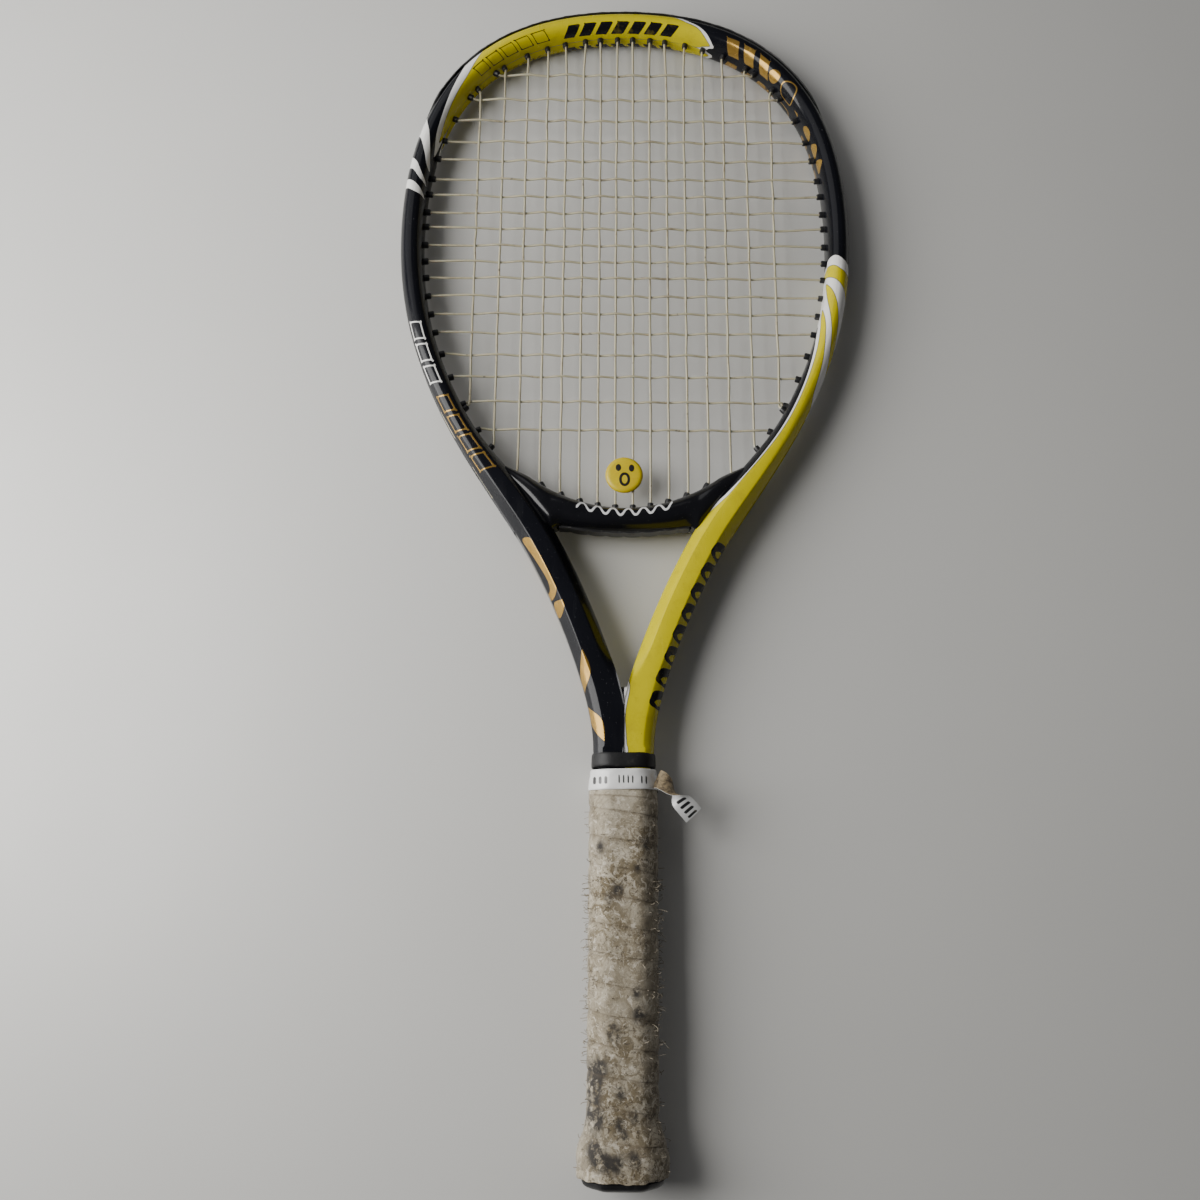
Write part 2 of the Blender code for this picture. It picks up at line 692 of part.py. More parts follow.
def turned(name, profile, centre, finish, steps=24, axis="Z"):
    """A profile of (radius, height), outer side top to bottom, turned about an axis through centre."""
    mesh = bpy.data.meshes.new(name)
    bm = bmesh.new()
    verts = [bm.verts.new((radius * MM, 0.0, height * MM)) for radius, height in profile]
    for first, second in zip(verts, verts[1:]):
        bm.edges.new((first, second))
    bm.to_mesh(mesh)
    bm.free()
    thing = bpy.data.objects.new(name, mesh)
    thing.location = to_world(centre)
    if axis == "-Y":
        thing.rotation_euler = (math.pi / 2, 0.0, 0.0)
    screw = thing.modifiers.new("turn", "SCREW")
    screw.steps = screw.render_steps = steps
    screw.use_merge_vertices = True
    screw.merge_threshold = 0.00001
    if finish is None:
        thing.hide_render = True
        thing.display_type = "WIRE"
        CUTTERS.objects.link(thing)
        return thing
    mesh.materials.append(finish)
    PARTS.objects.link(thing)
    return thing


# ---------------------------------------------------------------- handle


def octagon(half_width, half_height, y):
    """The handle's eight-sided section, wider than it is high."""
    a, b = half_width, half_height
    cut_a, cut_b = 0.52 * b, 0.44 * b
    corners = [(a, b - 2 * cut_b * 0.62), (a - cut_a, b)]
    right_top = corners
    left_top = [(-x, z) for x, z in right_top[::-1]]
    upper = right_top + left_top
    return [(x, y, z) for x, z in upper] + [(-x, y, -z) for x, z in upper]


def flare(y):
    """How far the handle swells towards the butt, from 0 at the top of the flare to 1."""
    share = float(np.clip((FLARE_TOP_Y - y) / (FLARE_TOP_Y - FLARE_FULL_Y), 0.0, 1.0))
    return share * share * (3 - 2 * share)


HANDLE_STATIONS = (19.0, 25.0, FLARE_TOP_Y, PALLET_TOP_Y - 76.0)
WRAP = BASE_GRIP_WALL + GAP + OVERGRIP_WALL


def handle_size(y, above):
    """Half width and half height of a layer that lies a given height above the pallets."""
    swell_x = BUTT_HALF_WIDTH - WRAP - PALLET[0]
    swell_z = BUTT_HALF_HEIGHT - WRAP - PALLET[1]
    share = flare(y)
    return PALLET[0] + above + share * swell_x, PALLET[1] + above + share * swell_z


def layer_rings(stations, above):
    return [octagon(*handle_size(y, above), y) for y in stations]


def hairpin_seat():
    """The frame's hairpin, grown by the gap, which both pallets are moulded round."""
    rings = [ring for ring in frame_rings(tube_section, -1.0, run_out=4.0, grow=GAP) if ring[0][1] < SHAFT_TOP_Y - 3]
    right = rings[len(rings) // 2 :]
    mirrored = [[(-x, y, z) for x, y, z in ring] for ring in right]
    return loft(right), loft(mirrored)


def make_pallets(finish):
    seats = [add_object(f"hairpin_seat_{i}", bm) for i, bm in enumerate(hairpin_seat())]
    half = BEAM[0][1] / 2 + GAP
    middle = add_object("hairpin_web_seat", box((-3, 0, -half), (3, SHAFT_TOP_Y, half)))
    for name, side in (("upper_handle_pallet", 1), ("lower_handle_pallet", -1)):
        low = octagon(*CAP_SEAT, PALLET_BOTTOM_Y)
        step = octagon(*CAP_SEAT, CAP_SEAT_Y + GAP)
        full = octagon(*PALLET, CAP_SEAT_Y + GAP + 0.4)
        top = octagon(*PALLET, PALLET_TOP_Y)
        pallet = add_object(name, loft([low, step, full, top]), finish)
        far = (-30, -5, -30 if side > 0 else -GAP / 2), (30, 230, GAP / 2 if side > 0 else 30)
        boolean(pallet, add_object(name + "_split", box(*far)))
        for seat in seats + [middle]:
            boolean(pallet, seat)
        for seat in STAPLE_CUTTERS + [TACK_CUTTER]:
            boolean(pallet, seat)


def cap_outer(y):
    return octagon(*handle_size(y, -GAP), y)


def make_butt_cap(finish):
    """A flared plastic cap over the pallets' end, with a round seat for its trap door."""
    lip = CAP_LIP
    rings = [
        octagon(lip[0] - CAP_END_CHAMFER, lip[1] - CAP_END_CHAMFER, 0.0),
        octagon(lip[0] - 1.2, lip[1] - 1.2, 1.4),
        octagon(*lip, 3.6),
        cap_outer(GRIP_BOTTOM_Y),
        cap_outer(FLARE_FULL_Y),
        *[cap_outer(y) for y in HANDLE_STATIONS[:2]],
        cap_outer(CAP_SEAT_Y),
    ]
    cap = add_object("butt_cap", loft(rings), finish)
    inside = (CAP_SEAT[0] + GAP, CAP_SEAT[1] + GAP)
    cup = loft([octagon(*inside, CAP_FLOOR), octagon(*inside, CAP_SEAT_Y + 5)])
    boolean(cap, add_object("butt_cap_cup", cup))
    seat = [
        (0.0, 2.0),
        (TRAP_DOOR_RADIUS + GAP, 2.0),
        (TRAP_DOOR_RADIUS + GAP, -TRAP_SEAT_DEPTH - GAP),
        (TRAP_PLUG_RADIUS + GAP, -TRAP_SEAT_DEPTH - GAP),
        (TRAP_PLUG_RADIUS + GAP, -CAP_FLOOR - 2.0),
        (0.0, -CAP_FLOOR - 2.0),
    ]
    boolean(cap, turned("trap_door_seat", seat, (0, 0, 0), None, axis="-Y"))
    for seat in STAPLE_CUTTERS + [TACK_CUTTER]:
        boolean(cap, seat)


def make_trap_door(finish):
    """A snap-in disc that closes the butt cap and pulls straight off."""
    profile = [
        (0.0, -0.5),
        (TRAP_DOOR_RADIUS * 0.6, -0.5),
        (TRAP_DOOR_RADIUS * 0.66, -0.1),
        (TRAP_DOOR_RADIUS - 0.3, -0.1),
        (TRAP_DOOR_RADIUS, -0.4),
        (TRAP_DOOR_RADIUS, -TRAP_SEAT_DEPTH),
        (TRAP_PLUG_RADIUS, -TRAP_SEAT_DEPTH),
        (TRAP_PLUG_RADIUS - 0.3, -CAP_FLOOR - 1.2),
        (0.0, -CAP_FLOOR - 1.2),
    ]
    turned("trap_door", profile, (0, 0, 0), finish, axis="-Y")


def staple_crown(side, bm, grow=0.0):
    """The bar of a wire staple, sunk in the cap's side wall; grow opens its seat to the outside."""
    crown_x = side * (handle_size(STAPLE_Y, -GAP)[0] - STAPLE_WIRE - 0.15)
    wire, half = STAPLE_WIRE / 2 + grow, STAPLE_SPAN / 2
    x_low, x_high = sorted((crown_x - side * wire, crown_x + side * (wire + 3 * grow)))
    return box((x_low, STAPLE_Y - wire, -half - wire), (x_high, STAPLE_Y + wire, half + wire), bm)


def staple_legs(side, bm, grow=0.0):
    """The staple's two points, a little slimmer than its crown, that reach into the pallets."""
    crown_x = side * (handle_size(STAPLE_Y, -GAP)[0] - STAPLE_WIRE - 0.15)
    x_low, x_high = sorted((crown_x, crown_x - side * (STAPLE_REACH + grow)))
    slim = 0.85 * (STAPLE_WIRE / 2 + grow)
    for z in (-STAPLE_SPAN / 2, STAPLE_SPAN / 2):
        box((x_low, STAPLE_Y - slim, z - slim), (x_high, STAPLE_Y + slim, z + slim), bm)
    return bm


def make_staples(finish):
    for side, name in ((-1, "left_butt_staple"), (1, "right_butt_staple")):
        legs = add_object(name + "_legs", staple_legs(side, bmesh.new()))
        boolean(add_object(name, staple_crown(side, bmesh.new()), finish), legs, "UNION")


def staple_cutters():
    """The seats of both staples, crowns and legs apart so that no cutter crosses itself."""
    cutters = []
    for name, shape in (("staple_crown_seats", staple_crown), ("staple_leg_seats", staple_legs)):
        bm = bmesh.new()
        for side in (-1, 1):
            shape(side, bm, GAP)
        cutters.append(add_object(name, bm))
    return cutters


def tack_profile(grow=0.0):
    """The small nail that starts the base grip: flat head, thin shank, standing on the top face."""
    head = handle_size(TACK_Y, BASE_GRIP_WALL)[1]
    return [
        (0.0, head - 0.4 + 3 * grow),
        (1.9 + grow, head - 0.4 + 3 * grow),
        (1.9 + grow, head - 1.0 - grow),
        (0.6 + grow, head - 1.0 - grow),
        (0.6 + grow, head - 6.0),
        (0.0, head - 6.6 - grow),
    ]


STAPLE_CUTTERS = staple_cutters()
TACK_CUTTER = turned("tack_seat", tack_profile(GAP), (0, TACK_Y, 0), None, steps=10)


def make_grips(base_finish, tape_finish, over_finish, band_finish):
    bottom = (GRIP_BOTTOM_Y, FLARE_FULL_Y)
    base = bottom + HANDLE_STATIONS + (PALLET_TOP_Y,)
    inner = layer_rings(base, 0.0)
    outer = layer_rings(base, BASE_GRIP_WALL)
    inner.append(octagon(PALLET[0] - 0.2, PALLET[1] - 0.2, BASE_TAPE_Y[1]))
    outer.append(octagon(PALLET[0] + 0.7, PALLET[1] + 0.7, BASE_TAPE_Y[1]))
    grip = add_object("base_grip", sleeve(outer, inner), base_finish)
    boolean(grip, TACK_CUTTER)
    tape = BASE_GRIP_WALL + GAP
    rings = [layer_rings((PALLET_TOP_Y - 9, PALLET_TOP_Y), tape + wall) for wall in (TAPE_WALL, 0.0)]
    add_object("base_grip_tape", sleeve(*rings), tape_finish)
    level = BASE_GRIP_WALL + GAP
    over = (GRIP_BOTTOM_Y, FLARE_FULL_Y) + HANDLE_STATIONS + (PALLET_TOP_Y - 16.0,)
    inner = layer_rings(over, level)
    outer = layer_rings(over, level + OVERGRIP_WALL)
    lift = level + TAPE_WALL + GAP
    for y, low in ((PALLET_TOP_Y - 12.0, lift), (GRIP_TOP_Y - 8, lift), (GRIP_TOP_Y, 1.5)):
        inner.append(octagon(PALLET[0] + low, PALLET[1] + low, y))
        outer.append(octagon(PALLET[0] + low + 0.4, PALLET[1] + low + 0.4, y))
    add_object("overgrip", sleeve(outer, inner), over_finish)
    band = [(OVERGRIP_TAPE_Y[0], 2.3 + GAP), (GRIP_TOP_Y + 1, 1.9 + GAP), (OVERGRIP_TAPE_Y[1], 1.6 + GAP)]
    inner = [octagon(PALLET[0] + up, PALLET[1] + up, y) for y, up in band]
    outer = [octagon(PALLET[0] + up + TAPE_WALL, PALLET[1] + up + TAPE_WALL, y) for y, up in band]
    add_object("overgrip_tape", sleeve(outer, inner), band_finish)


def make_collar(finish):
    """A stretched rubber ring that hugs the shaft above the grip's end."""
    rings = []
    for above in (COLLAR_WALL, 0.0):
        reach = (SHAFT_HALF_WIDTH + GAP + above, BEAM[1][1] / 2 + GAP + above)
        rings.append([octagon(*reach, y) for y in COLLAR_Y])
    add_object("rubber_collar", sleeve(*rings), finish)


def make_tape_tail(finish):
    """The loose end of the finishing tape, peeling off the band and twisting down to one side."""
    top = PALLET[1] + 3.0 + GAP + TAPE_WALL
    start = GRIP_TOP_Y + 2.0
    spine = (
        (9.0, start, top),
        (15.0, start - 1.5, top + 2.6),
        (21.5, start - 5.5, top + 3.0),
        (28.0, start - 11.5, top - 1.0),
        (33.5, start - 17.0, top - 7.0),
        (36.5, start - 22.0, top - 13.0),
    )
    rings = []
    for i, (x, y, z) in enumerate(spine):
        share = i / (len(spine) - 1)
        lean = math.radians(-10 + 70 * share)
        across = np.array((0.55 * math.sin(lean), math.cos(lean), -0.45 * math.sin(lean)))
        across *= TAIL_WIDTH / 2 / np.linalg.norm(across)
        up = np.array((0.0, 0.0, TAPE_WALL / 2)) if share < 0.5 else np.array((TAPE_WALL / 2, 0.0, TAPE_WALL / 4))
        middle = np.array((x, y, z))
        rings.append([middle + across + up, middle - across + up, middle - across - up, middle + across - up])
    add_object("tape_tail", loft(rings), finish)


# ---------------------------------------------------------------- assembly


def main():
    carbon = material("painted_carbon", (0.72, 0.60, 0.02), 0.3)
    black = material("black_lacquer", (0.012, 0.013, 0.018), 0.25)
    nylon = material("grommet_nylon", (0.015, 0.015, 0.016), 0.5)
    gut = material("string_gut", (0.62, 0.50, 0.36), 0.45)
    yellow_rubber = material("yellow_rubber", (0.85, 0.66, 0.03), 0.55)
    foam = material("handle_foam", (0.55, 0.45, 0.30), 0.9)
    black_plastic = material("black_plastic", (0.02, 0.02, 0.02), 0.45)
    steel = material("staple_steel", (0.6, 0.6, 0.6), 0.35, 1.0)
    leather = material("base_grip_leather", (0.03, 0.03, 0.03), 0.7)
    cloth = material("overgrip_cloth", (0.72, 0.66, 0.56), 0.85)
    tape = material("finishing_tape", (0.85, 0.85, 0.84), 0.4)
    rubber = material("collar_rubber", (0.02, 0.02, 0.02), 0.6)
    make_frame(carbon)
    make_bridge(black)
    make_strips(nylon)
    make_string("main_string", main_route(), gut)
    make_string("cross_string", cross_route(), gut)
    make_dampener(yellow_rubber)
    make_pallets(foam)
    make_butt_cap(black_plastic)
    make_trap_door(black_plastic)
    make_staples(steel)
    turned("grip_tack", tack_profile(), (0, TACK_Y, 0), steel, steps=10)
    make_grips(leather, tape, cloth, tape)
    make_collar(rubber)
    make_tape_tail(tape)


main()
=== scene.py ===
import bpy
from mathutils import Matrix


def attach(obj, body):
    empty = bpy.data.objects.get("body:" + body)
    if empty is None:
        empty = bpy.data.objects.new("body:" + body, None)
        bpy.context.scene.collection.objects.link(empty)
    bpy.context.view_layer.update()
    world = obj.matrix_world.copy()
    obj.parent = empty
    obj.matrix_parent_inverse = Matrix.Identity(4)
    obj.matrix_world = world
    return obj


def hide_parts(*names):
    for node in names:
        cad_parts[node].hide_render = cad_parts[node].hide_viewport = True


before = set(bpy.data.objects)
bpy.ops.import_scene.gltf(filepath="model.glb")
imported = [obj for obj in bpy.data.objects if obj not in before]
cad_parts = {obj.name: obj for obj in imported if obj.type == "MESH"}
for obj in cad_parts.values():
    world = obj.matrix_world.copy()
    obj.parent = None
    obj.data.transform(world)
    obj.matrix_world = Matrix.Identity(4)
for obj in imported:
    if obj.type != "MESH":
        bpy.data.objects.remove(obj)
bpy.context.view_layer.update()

# ------------------------------------------------------------------ hoop, arms and shaft
# One hollow tube of carbon laminate, moulded under pressure round the head and pressed together
# at the shaft. It is sprayed black, masked and sprayed again in white and lemon, trimmed with
# foil, and clear-coated; a groove for the grommet strips runs round its outside.

import math

import bmesh
import bpy
import numpy as np

MM = 0.001
HALF_LENGTH, STRING_PLANE = 342.9, 21.0
TIP_Y = 684.2
HEAD_HALF_WIDTH, WIDEST_Y = 135.4, 530.0
ARM_POINT, ARM_LEAN = (62.1, 339.6), math.radians(32.8)
SHAFT_HALF_WIDTH, SHAFT_JOIN_Y = 16.5, 218.0
HAIRPIN_X, HAIRPIN_TOP_Y, HAIRPIN_END_Y = 11.0, 192.0, 13.0
HOOP_WIDTH, ARM_EXTRA_WIDTH = 13.0, 6.8
BEAM_Y, BEAM_HALVES = (192, 218, 330, 530, 640, 686), (9.5, 11.5, 12.75, 12.5, 11.5, 11.25)
GROOVE_DEPTH, GROOVE_END_Y, GROOVE_FADE = 3.2, 338.0, 14.0
SEAM, SEAM_TOP_Y = 0.02, 275.0
TUBE_STEP = 1.3
GROOVE_POINTS, SECTION_DETAIL = 5, 3
FAR = 9.0  # mm, as good as nowhere near a painted edge


def metres(points):
    """From millimetres, y from the butt and z from the string plane, to the racket's own frame."""
    points = np.asarray(points, float).reshape(-1, 3)
    return (points + (0.0, -HALF_LENGTH, STRING_PLANE)) * MM


def bezier(ends, steps=60):
    """Points along a cubic curve, without its last one."""
    p0, p1, p2, p3 = (np.array(p, float) for p in ends)
    t = np.linspace(0.0, 1.0, steps + 1)[:-1, None]
    return (1 - t) ** 3 * p0 + 3 * (1 - t) ** 2 * t * p1 + 3 * (1 - t) * t**2 * p2 + t**3 * p3


def smooth_step(value, low, high):
    """0 at low and 1 at high, with level ends."""
    share = np.clip((np.asarray(value, float) - low) / (high - low), 0.0, 1.0)
    return share * share * (3 - 2 * share)


def edge_line():
    """The right half of the tube's outer edge, evenly stepped from the tip to the hairpin's end."""
    lean = np.array((math.sin(ARM_LEAN), math.cos(ARM_LEAN)))
    tip, side, arm = np.array((0, TIP_Y)), np.array((HEAD_HALF_WIDTH, WIDEST_Y)), np.array(ARM_POINT)
    shaft = np.array((SHAFT_HALF_WIDTH, SHAFT_JOIN_Y))
    hairpin = np.array((HAIRPIN_X, HAIRPIN_TOP_Y))
    line = np.vstack([
        bezier((tip, tip + (96.7, 0), side + (0, 92.5), side)),
        bezier((side, side - (0, 86.7), arm + lean * 67.0, arm)),
        bezier((arm, arm - lean * 38.6, shaft + (0, 28.0), shaft)),
        bezier((shaft, shaft - (0, 13.0), hairpin + (0, 13.0), hairpin)),
        [hairpin, (HAIRPIN_X, HAIRPIN_END_Y)],
    ])
    run = np.concatenate([[0.0], np.cumsum(np.linalg.norm(np.diff(line, axis=0), axis=1))])
    stops = np.concatenate([np.arange(0.0, 600.0, TUBE_STEP), np.linspace(602.0, run[-1], 12)])
    return stops, np.stack([np.interp(stops, run, line[:, i]) for i in (0, 1)], axis=1)


RUN, EDGE = edge_line()
along = np.gradient(EDGE, axis=0)
along[0] = (1.0, 0.0)
along /= np.linalg.norm(along, axis=1)[:, None]
INWARD = np.stack((along[:, 1], -along[:, 0]), axis=1)
WIDTH = HOOP_WIDTH + ARM_EXTRA_WIDTH * smooth_step(-EDGE[:, 1], -405.0, -338.0)
in_shaft = EDGE[:, 1] < SHAFT_JOIN_Y
WIDTH[in_shaft] = EDGE[in_shaft, 0] - SEAM
BEAM_HALF = np.interp(EDGE[:, 1], BEAM_Y, BEAM_HALVES)
GROOVE = GROOVE_DEPTH * np.clip((EDGE[:, 1] - GROOVE_END_Y) / GROOVE_FADE, 0.0, 1.0)
INNER = EDGE + INWARD * WIDTH[:, None]
WIDEST = int(np.argmax(EDGE[:, 0]))

# Upper half of the section, as shares of the width (from the outer edge) and of the half beam
HOOP_KNOTS = ((0, .46), (.03, .57), (.10, .71), (.22, .885), (.38, .985), (.50, 1.0),
              (.62, .985), (.78, .90), (.91, .70), (.98, .42), (1, 0))
ARM_KNOTS = ((0, .40), (.03, .50), (.09, .64), (.235, .945), (.29, .99), (.50, 1.0),
             (.66, .99), (.73, .945), (.92, .60), (.99, .36), (1, 0))
SHAFT_KNOTS = ((0, .40), (.03, .52), (.12, .76), (.27, .955), (.34, .99), (.50, 1.0),
               (.68, 1.0), (.84, 1.0), (.96, 1.0), (1, .965), (1, 0))
KNOT_SHARES = (-1.2, 0, .03, .10, .22, .38, .50, .62, .78, .91, 1.0, 2.4)


def catmull(points, detail, closed=False):
    """A smooth line through points; a repeated point makes a corner."""
    points = np.asarray(points, float)
    ends = (points[-1:], points[:2]) if closed else (points[:1], points[-1:])
    padded = np.vstack([ends[0], points, ends[1]])
    t = (np.arange(detail) / detail)[None, :, None]
    a, b, c, d = (padded[i:len(padded) - 3 + i, None] for i in range(4))
    bend, twist = 2 * a - 5 * b + 4 * c - d, 3 * b - a - 3 * c + d
    line = .5 * (2 * b + (c - a) * t + bend * t**2 + twist * t**3)
    line = line.reshape(-1, points.shape[1])
    return line if closed else np.vstack([line, points[-1:]])


def half_section(width, half, groove, arm, shaft):
    """(depth, height) from the middle of the groove, over the face, to the middle of the inside."""
    knots = np.array(HOOP_KNOTS) * (1 - arm) + np.array(ARM_KNOTS) * arm
    knots = knots * (1 - shaft) + np.array(SHAFT_KNOTS) * shaft
    lip = .25 * min(groove, 1.0)
    wall = [(groove, 0), (groove, 2.2), (groove, 4.2), (.6 * groove, 4.5), (lip, 4.9)]
    return np.vstack([wall, catmull(knots * (width, half), SECTION_DETAIL)])


arm_share, shaft_share = smooth_step(-EDGE[:, 1], -430, -350), smooth_step(-EDGE[:, 1], -272, -246)
SECTIONS = np.array([half_section(*sizes) for sizes in zip(WIDTH, BEAM_HALF, GROOVE, arm_share, shaft_share)])
HALF_COUNT = SECTIONS.shape[1]
steps_round = np.linalg.norm(np.diff(SECTIONS, axis=1), axis=2)
UNROLLED = np.concatenate([np.zeros((len(RUN), 1)), np.cumsum(steps_round, axis=1)], axis=1)


def unroll(run, share):
    """How far round the section, in mm, a share of the width lies at that run."""
    station = int(np.argmin(np.abs(RUN - abs(run))))
    knots = np.concatenate([[0.0], UNROLLED[station, GROOVE_POINTS::SECTION_DETAIL]])
    return float(np.interp(share, KNOT_SHARES, knots))


def skin(name, rings, ring_of_rings=False):
    """A closed mesh through rings of equal count, in millimetres, capped or joined end to end."""
    rings = np.asarray(rings, float)
    rows, columns = rings.shape[:2]
    grid = np.arange(rows * columns).reshape(rows, columns)
    low, high = (grid, np.roll(grid, -1, axis=0)) if ring_of_rings else (grid[:-1], grid[1:])
    quads = np.stack([low, np.roll(low, -1, 1), np.roll(high, -1, 1), high], axis=-1).reshape(-1, 4)
    faces = quads.tolist()
    if not ring_of_rings:
        faces += [grid[0][::-1].tolist(), grid[-1].tolist()]
    mesh = bpy.data.meshes.new(name)
    mesh.from_pydata(metres(rings).tolist(), [], faces)
    mesh.validate()
    return mesh


def turn_outwards(mesh):
    """Faces all look out of the solid."""
    bm = bmesh.new()
    bm.from_mesh(mesh)
    bmesh.ops.recalc_face_normals(bm, faces=bm.faces)
    bm.to_mesh(mesh)
    bm.free()


def fit(name, mesh, finish, body, slot, *nodes, crease=40):
    """Puts a finished mesh on its body in place of the CAD nodes that it stands for."""
    turn_outwards(mesh)
    mesh.shade_smooth()
    if crease:
        mesh.set_sharp_from_angle(angle=math.radians(crease))
    mesh.materials.append(finish)
    piece = bpy.data.objects.new(name, mesh)
    bpy.context.scene.collection.objects.link(piece)
    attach(piece, body)
    if nodes:
        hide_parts(*nodes)
    return piece


def store(mesh, name, values):
    """Keeps one number for every point, which a finish reads by this name."""
    kept = mesh.attributes.new(name, "FLOAT", "POINT").data
    kept.foreach_set("value", np.asarray(values, np.float32).ravel())


class Finish:
    """A surface finish, wired node by node."""

    def __init__(self, name, **constants):
        self.material = bpy.data.materials.new(name)
        self.material.use_nodes = True
        self.tree = self.material.node_tree
        self.shader = self.tree.nodes["Principled BSDF"]
        for socket, value in constants.items():
            self.shader.inputs[socket.replace("_", " ")].default_value = value

    def put(self, kind, values, out=0, **settings):
        node = self.tree.nodes.new("ShaderNode" + kind)
        for setting, value in settings.items():
            setattr(node, setting, value)
        for key, value in values.items():
            if value is not None:
                self.join(value, node.inputs[key])
        return node.outputs[out]

    def join(self, value, socket):
        if isinstance(value, bpy.types.NodeSocket):
            self.tree.links.new(value, socket)
        elif isinstance(value, tuple) and len(value) == 3 and socket.type == "RGBA":
            socket.default_value = (*value, 1.0)
        else:
            socket.default_value = value

    def place(self, scale=(1.0, 1.0, 1.0)):
        where = self.put("TexCoord", {}, out=3)
        return self.put("Mapping", {"Vector": where, "Scale": scale})

    def grain(self, scale, detail=4.0, rough=0.6, stretch=None, warp=0.0):
        where = self.place(stretch or (1.0, 1.0, 1.0))
        return self.put("TexNoise", {"Vector": where, "Scale": scale, "Detail": detail,
                                     "Roughness": rough, "Distortion": warp})

    def cells(self, scale, feature="F1"):
        return self.put("TexVoronoi", {"Vector": self.place(), "Scale": scale}, feature=feature)

    def stored(self, name):
        return self.put("Attribute", {}, out=2, attribute_name=name)

    def rise(self, value, low, high):
        """0 below low and 1 above high; low above high turns it round."""
        return self.put("MapRange", {"Value": value, "From Min": low, "From Max": high})

    def plus(self, a, b):
        return self.put("Math", {0: a, 1: b}, operation="ADD")

    def less(self, a, b):
        return self.put("Math", {0: a, 1: b}, operation="SUBTRACT")

    def times(self, a, b):
        return self.put("Math", {0: a, 1: b}, operation="MULTIPLY")

    def larger(self, a, b):
        return self.put("Math", {0: a, 1: b}, operation="MAXIMUM")

    def unsigned(self, a):
        return self.put("Math", {0: a}, operation="ABSOLUTE")

    def blend(self, share, a, b):
        return self.put("Mix", {0: share, 6: a, 7: b}, out=2, data_type="RGBA")

    def show(self, colour=None, roughness=None, metallic=None, relief=()):
        if colour is not None:
            self.join(colour, self.shader.inputs["Base Color"])
        if roughness is not None:
            self.join(roughness, self.shader.inputs["Roughness"])
        if metallic is not None:
            self.join(metallic, self.shader.inputs["Metallic"])
        normal = None
        for height, depth in relief:
            normal = self.put("Bump", {"Height": height, "Distance": depth * MM, "Strength": 1.0,
                                       "Normal": normal})
        if normal is not None:
            self.join(normal, self.shader.inputs["Normal"])
        return self.material


# Painted shapes, as (run from the tip, left negative; share of the width) round each outline
LEMON_TIP = ((-169.5, 1.05), (-156, .93), (-144, .86), (-130, .78), (-119, .68), (-109, .50), (-99, .22),
             (-91, -.2), (-84, -1.2), (-60, -1.3), (-20, -1.3), (12, -1.2), (19, -.3), (28, .12), (38, .42),
             (48, .62), (55, .88), (59.5, 1.15), (58, 1.4), (54, 1.8), (48, 2.5), (20, 2.6), (-50, 2.6),
             (-120, 2.6), (-150, 2.5), (-163, 1.9), (-168.5, 1.4))
WHITE_TIP = ((-181, 1.02), (-169, .86), (-158, .79), (-148, .71), (-139, .61), (-126, .44), (-116, .25),
             (-106, 0), (-98, -.6), (-90, -1.3), (-50, -1.3), (0, -1.3), (18, -1.2), (24, -.4), (31, .05),
             (40, .34), (49, .54), (56.5, .8), (62.3, 1.1), (62.3, 1.4), (58, 1.9), (53, 2.6), (0, 2.7),
             (-100, 2.7), (-150, 2.7), (-170, 2.0), (-179, 1.4))
WHITE_SPIKES = (
    ((-154, -.9), (-156.5, .05), (-165, .42), (-174, .70), (-186, .91), (-194, 1.02), (-194, 1.02),
     (-191, .84), (-182, .60), (-173.5, .25), (-169.5, -.1), (-168, -.9)),
    ((-182, -.9), (-184.5, .0), (-190, .36), (-198, .74), (-205.5, 1.02), (-205.5, 1.02), (-202, .70),
     (-196, .3), (-192.8, 0), (-191.5, -.9)),
    ((-198, -.9), (-200.5, 0), (-205, .46), (-211, .9), (-214, 1.02), (-214, 1.02), (-212, .6), (-209, .2),
     (-207.2, 0), (-206, -.9)),
)
WHITE_RIGHT = ((262, -1.3), (260.5, -.3), (257, .3), (254, .72), (255.5, 1.02), (259, 1.3), (261, 2.6),
               (296, 2.6), (300, 1.5), (306, 1.02), (318, .90), (338, .78), (364, .70), (388, .70),
               (412, .78), (432, .88), (446, .98), (451, 1.3), (452, 2.6), (600, 2.7), (640, 2.7),
               (640, -1.4), (500, -1.4), (380, -1.4))
LEMON_RIGHT = ((289, 1.02), (296, .97), (304, .90), (318, .79), (340, .68), (366, .61), (388, .62),
               (410, .69), (430, .80), (444, .92), (449, 1.05), (453, 1.4), (455, 2.6), (536, 2.6),
               (541, 1.6), (543, .97), (547, .86), (560, .82), (577, .81), (640, .80), (640, -1.4),
               (500, -1.4), (374, -1.4), (361, -.4), (352, .06), (345, .2), (327, .36), (310, .60),
               (300, .76), (293, .91))
LEMON_BAND = ((259.5, 1.02), (261, .73), (264, .36), (266, .0), (268, -.9), (292, -1.0), (285, -.25),
              (278, .12), (273, .42), (270, .70), (266.5, 1.0), (266, 1.5), (265, 2.6), (261, 2.6),
              (260, 1.5))
LEMON_BLADE = ((271, 1.04), (276.5, .79), (284.4, .49), (295, .25), (308, .08), (322, -.02), (334, -.05),
               (318, .20), (305, .40), (292, .69), (279, .93))
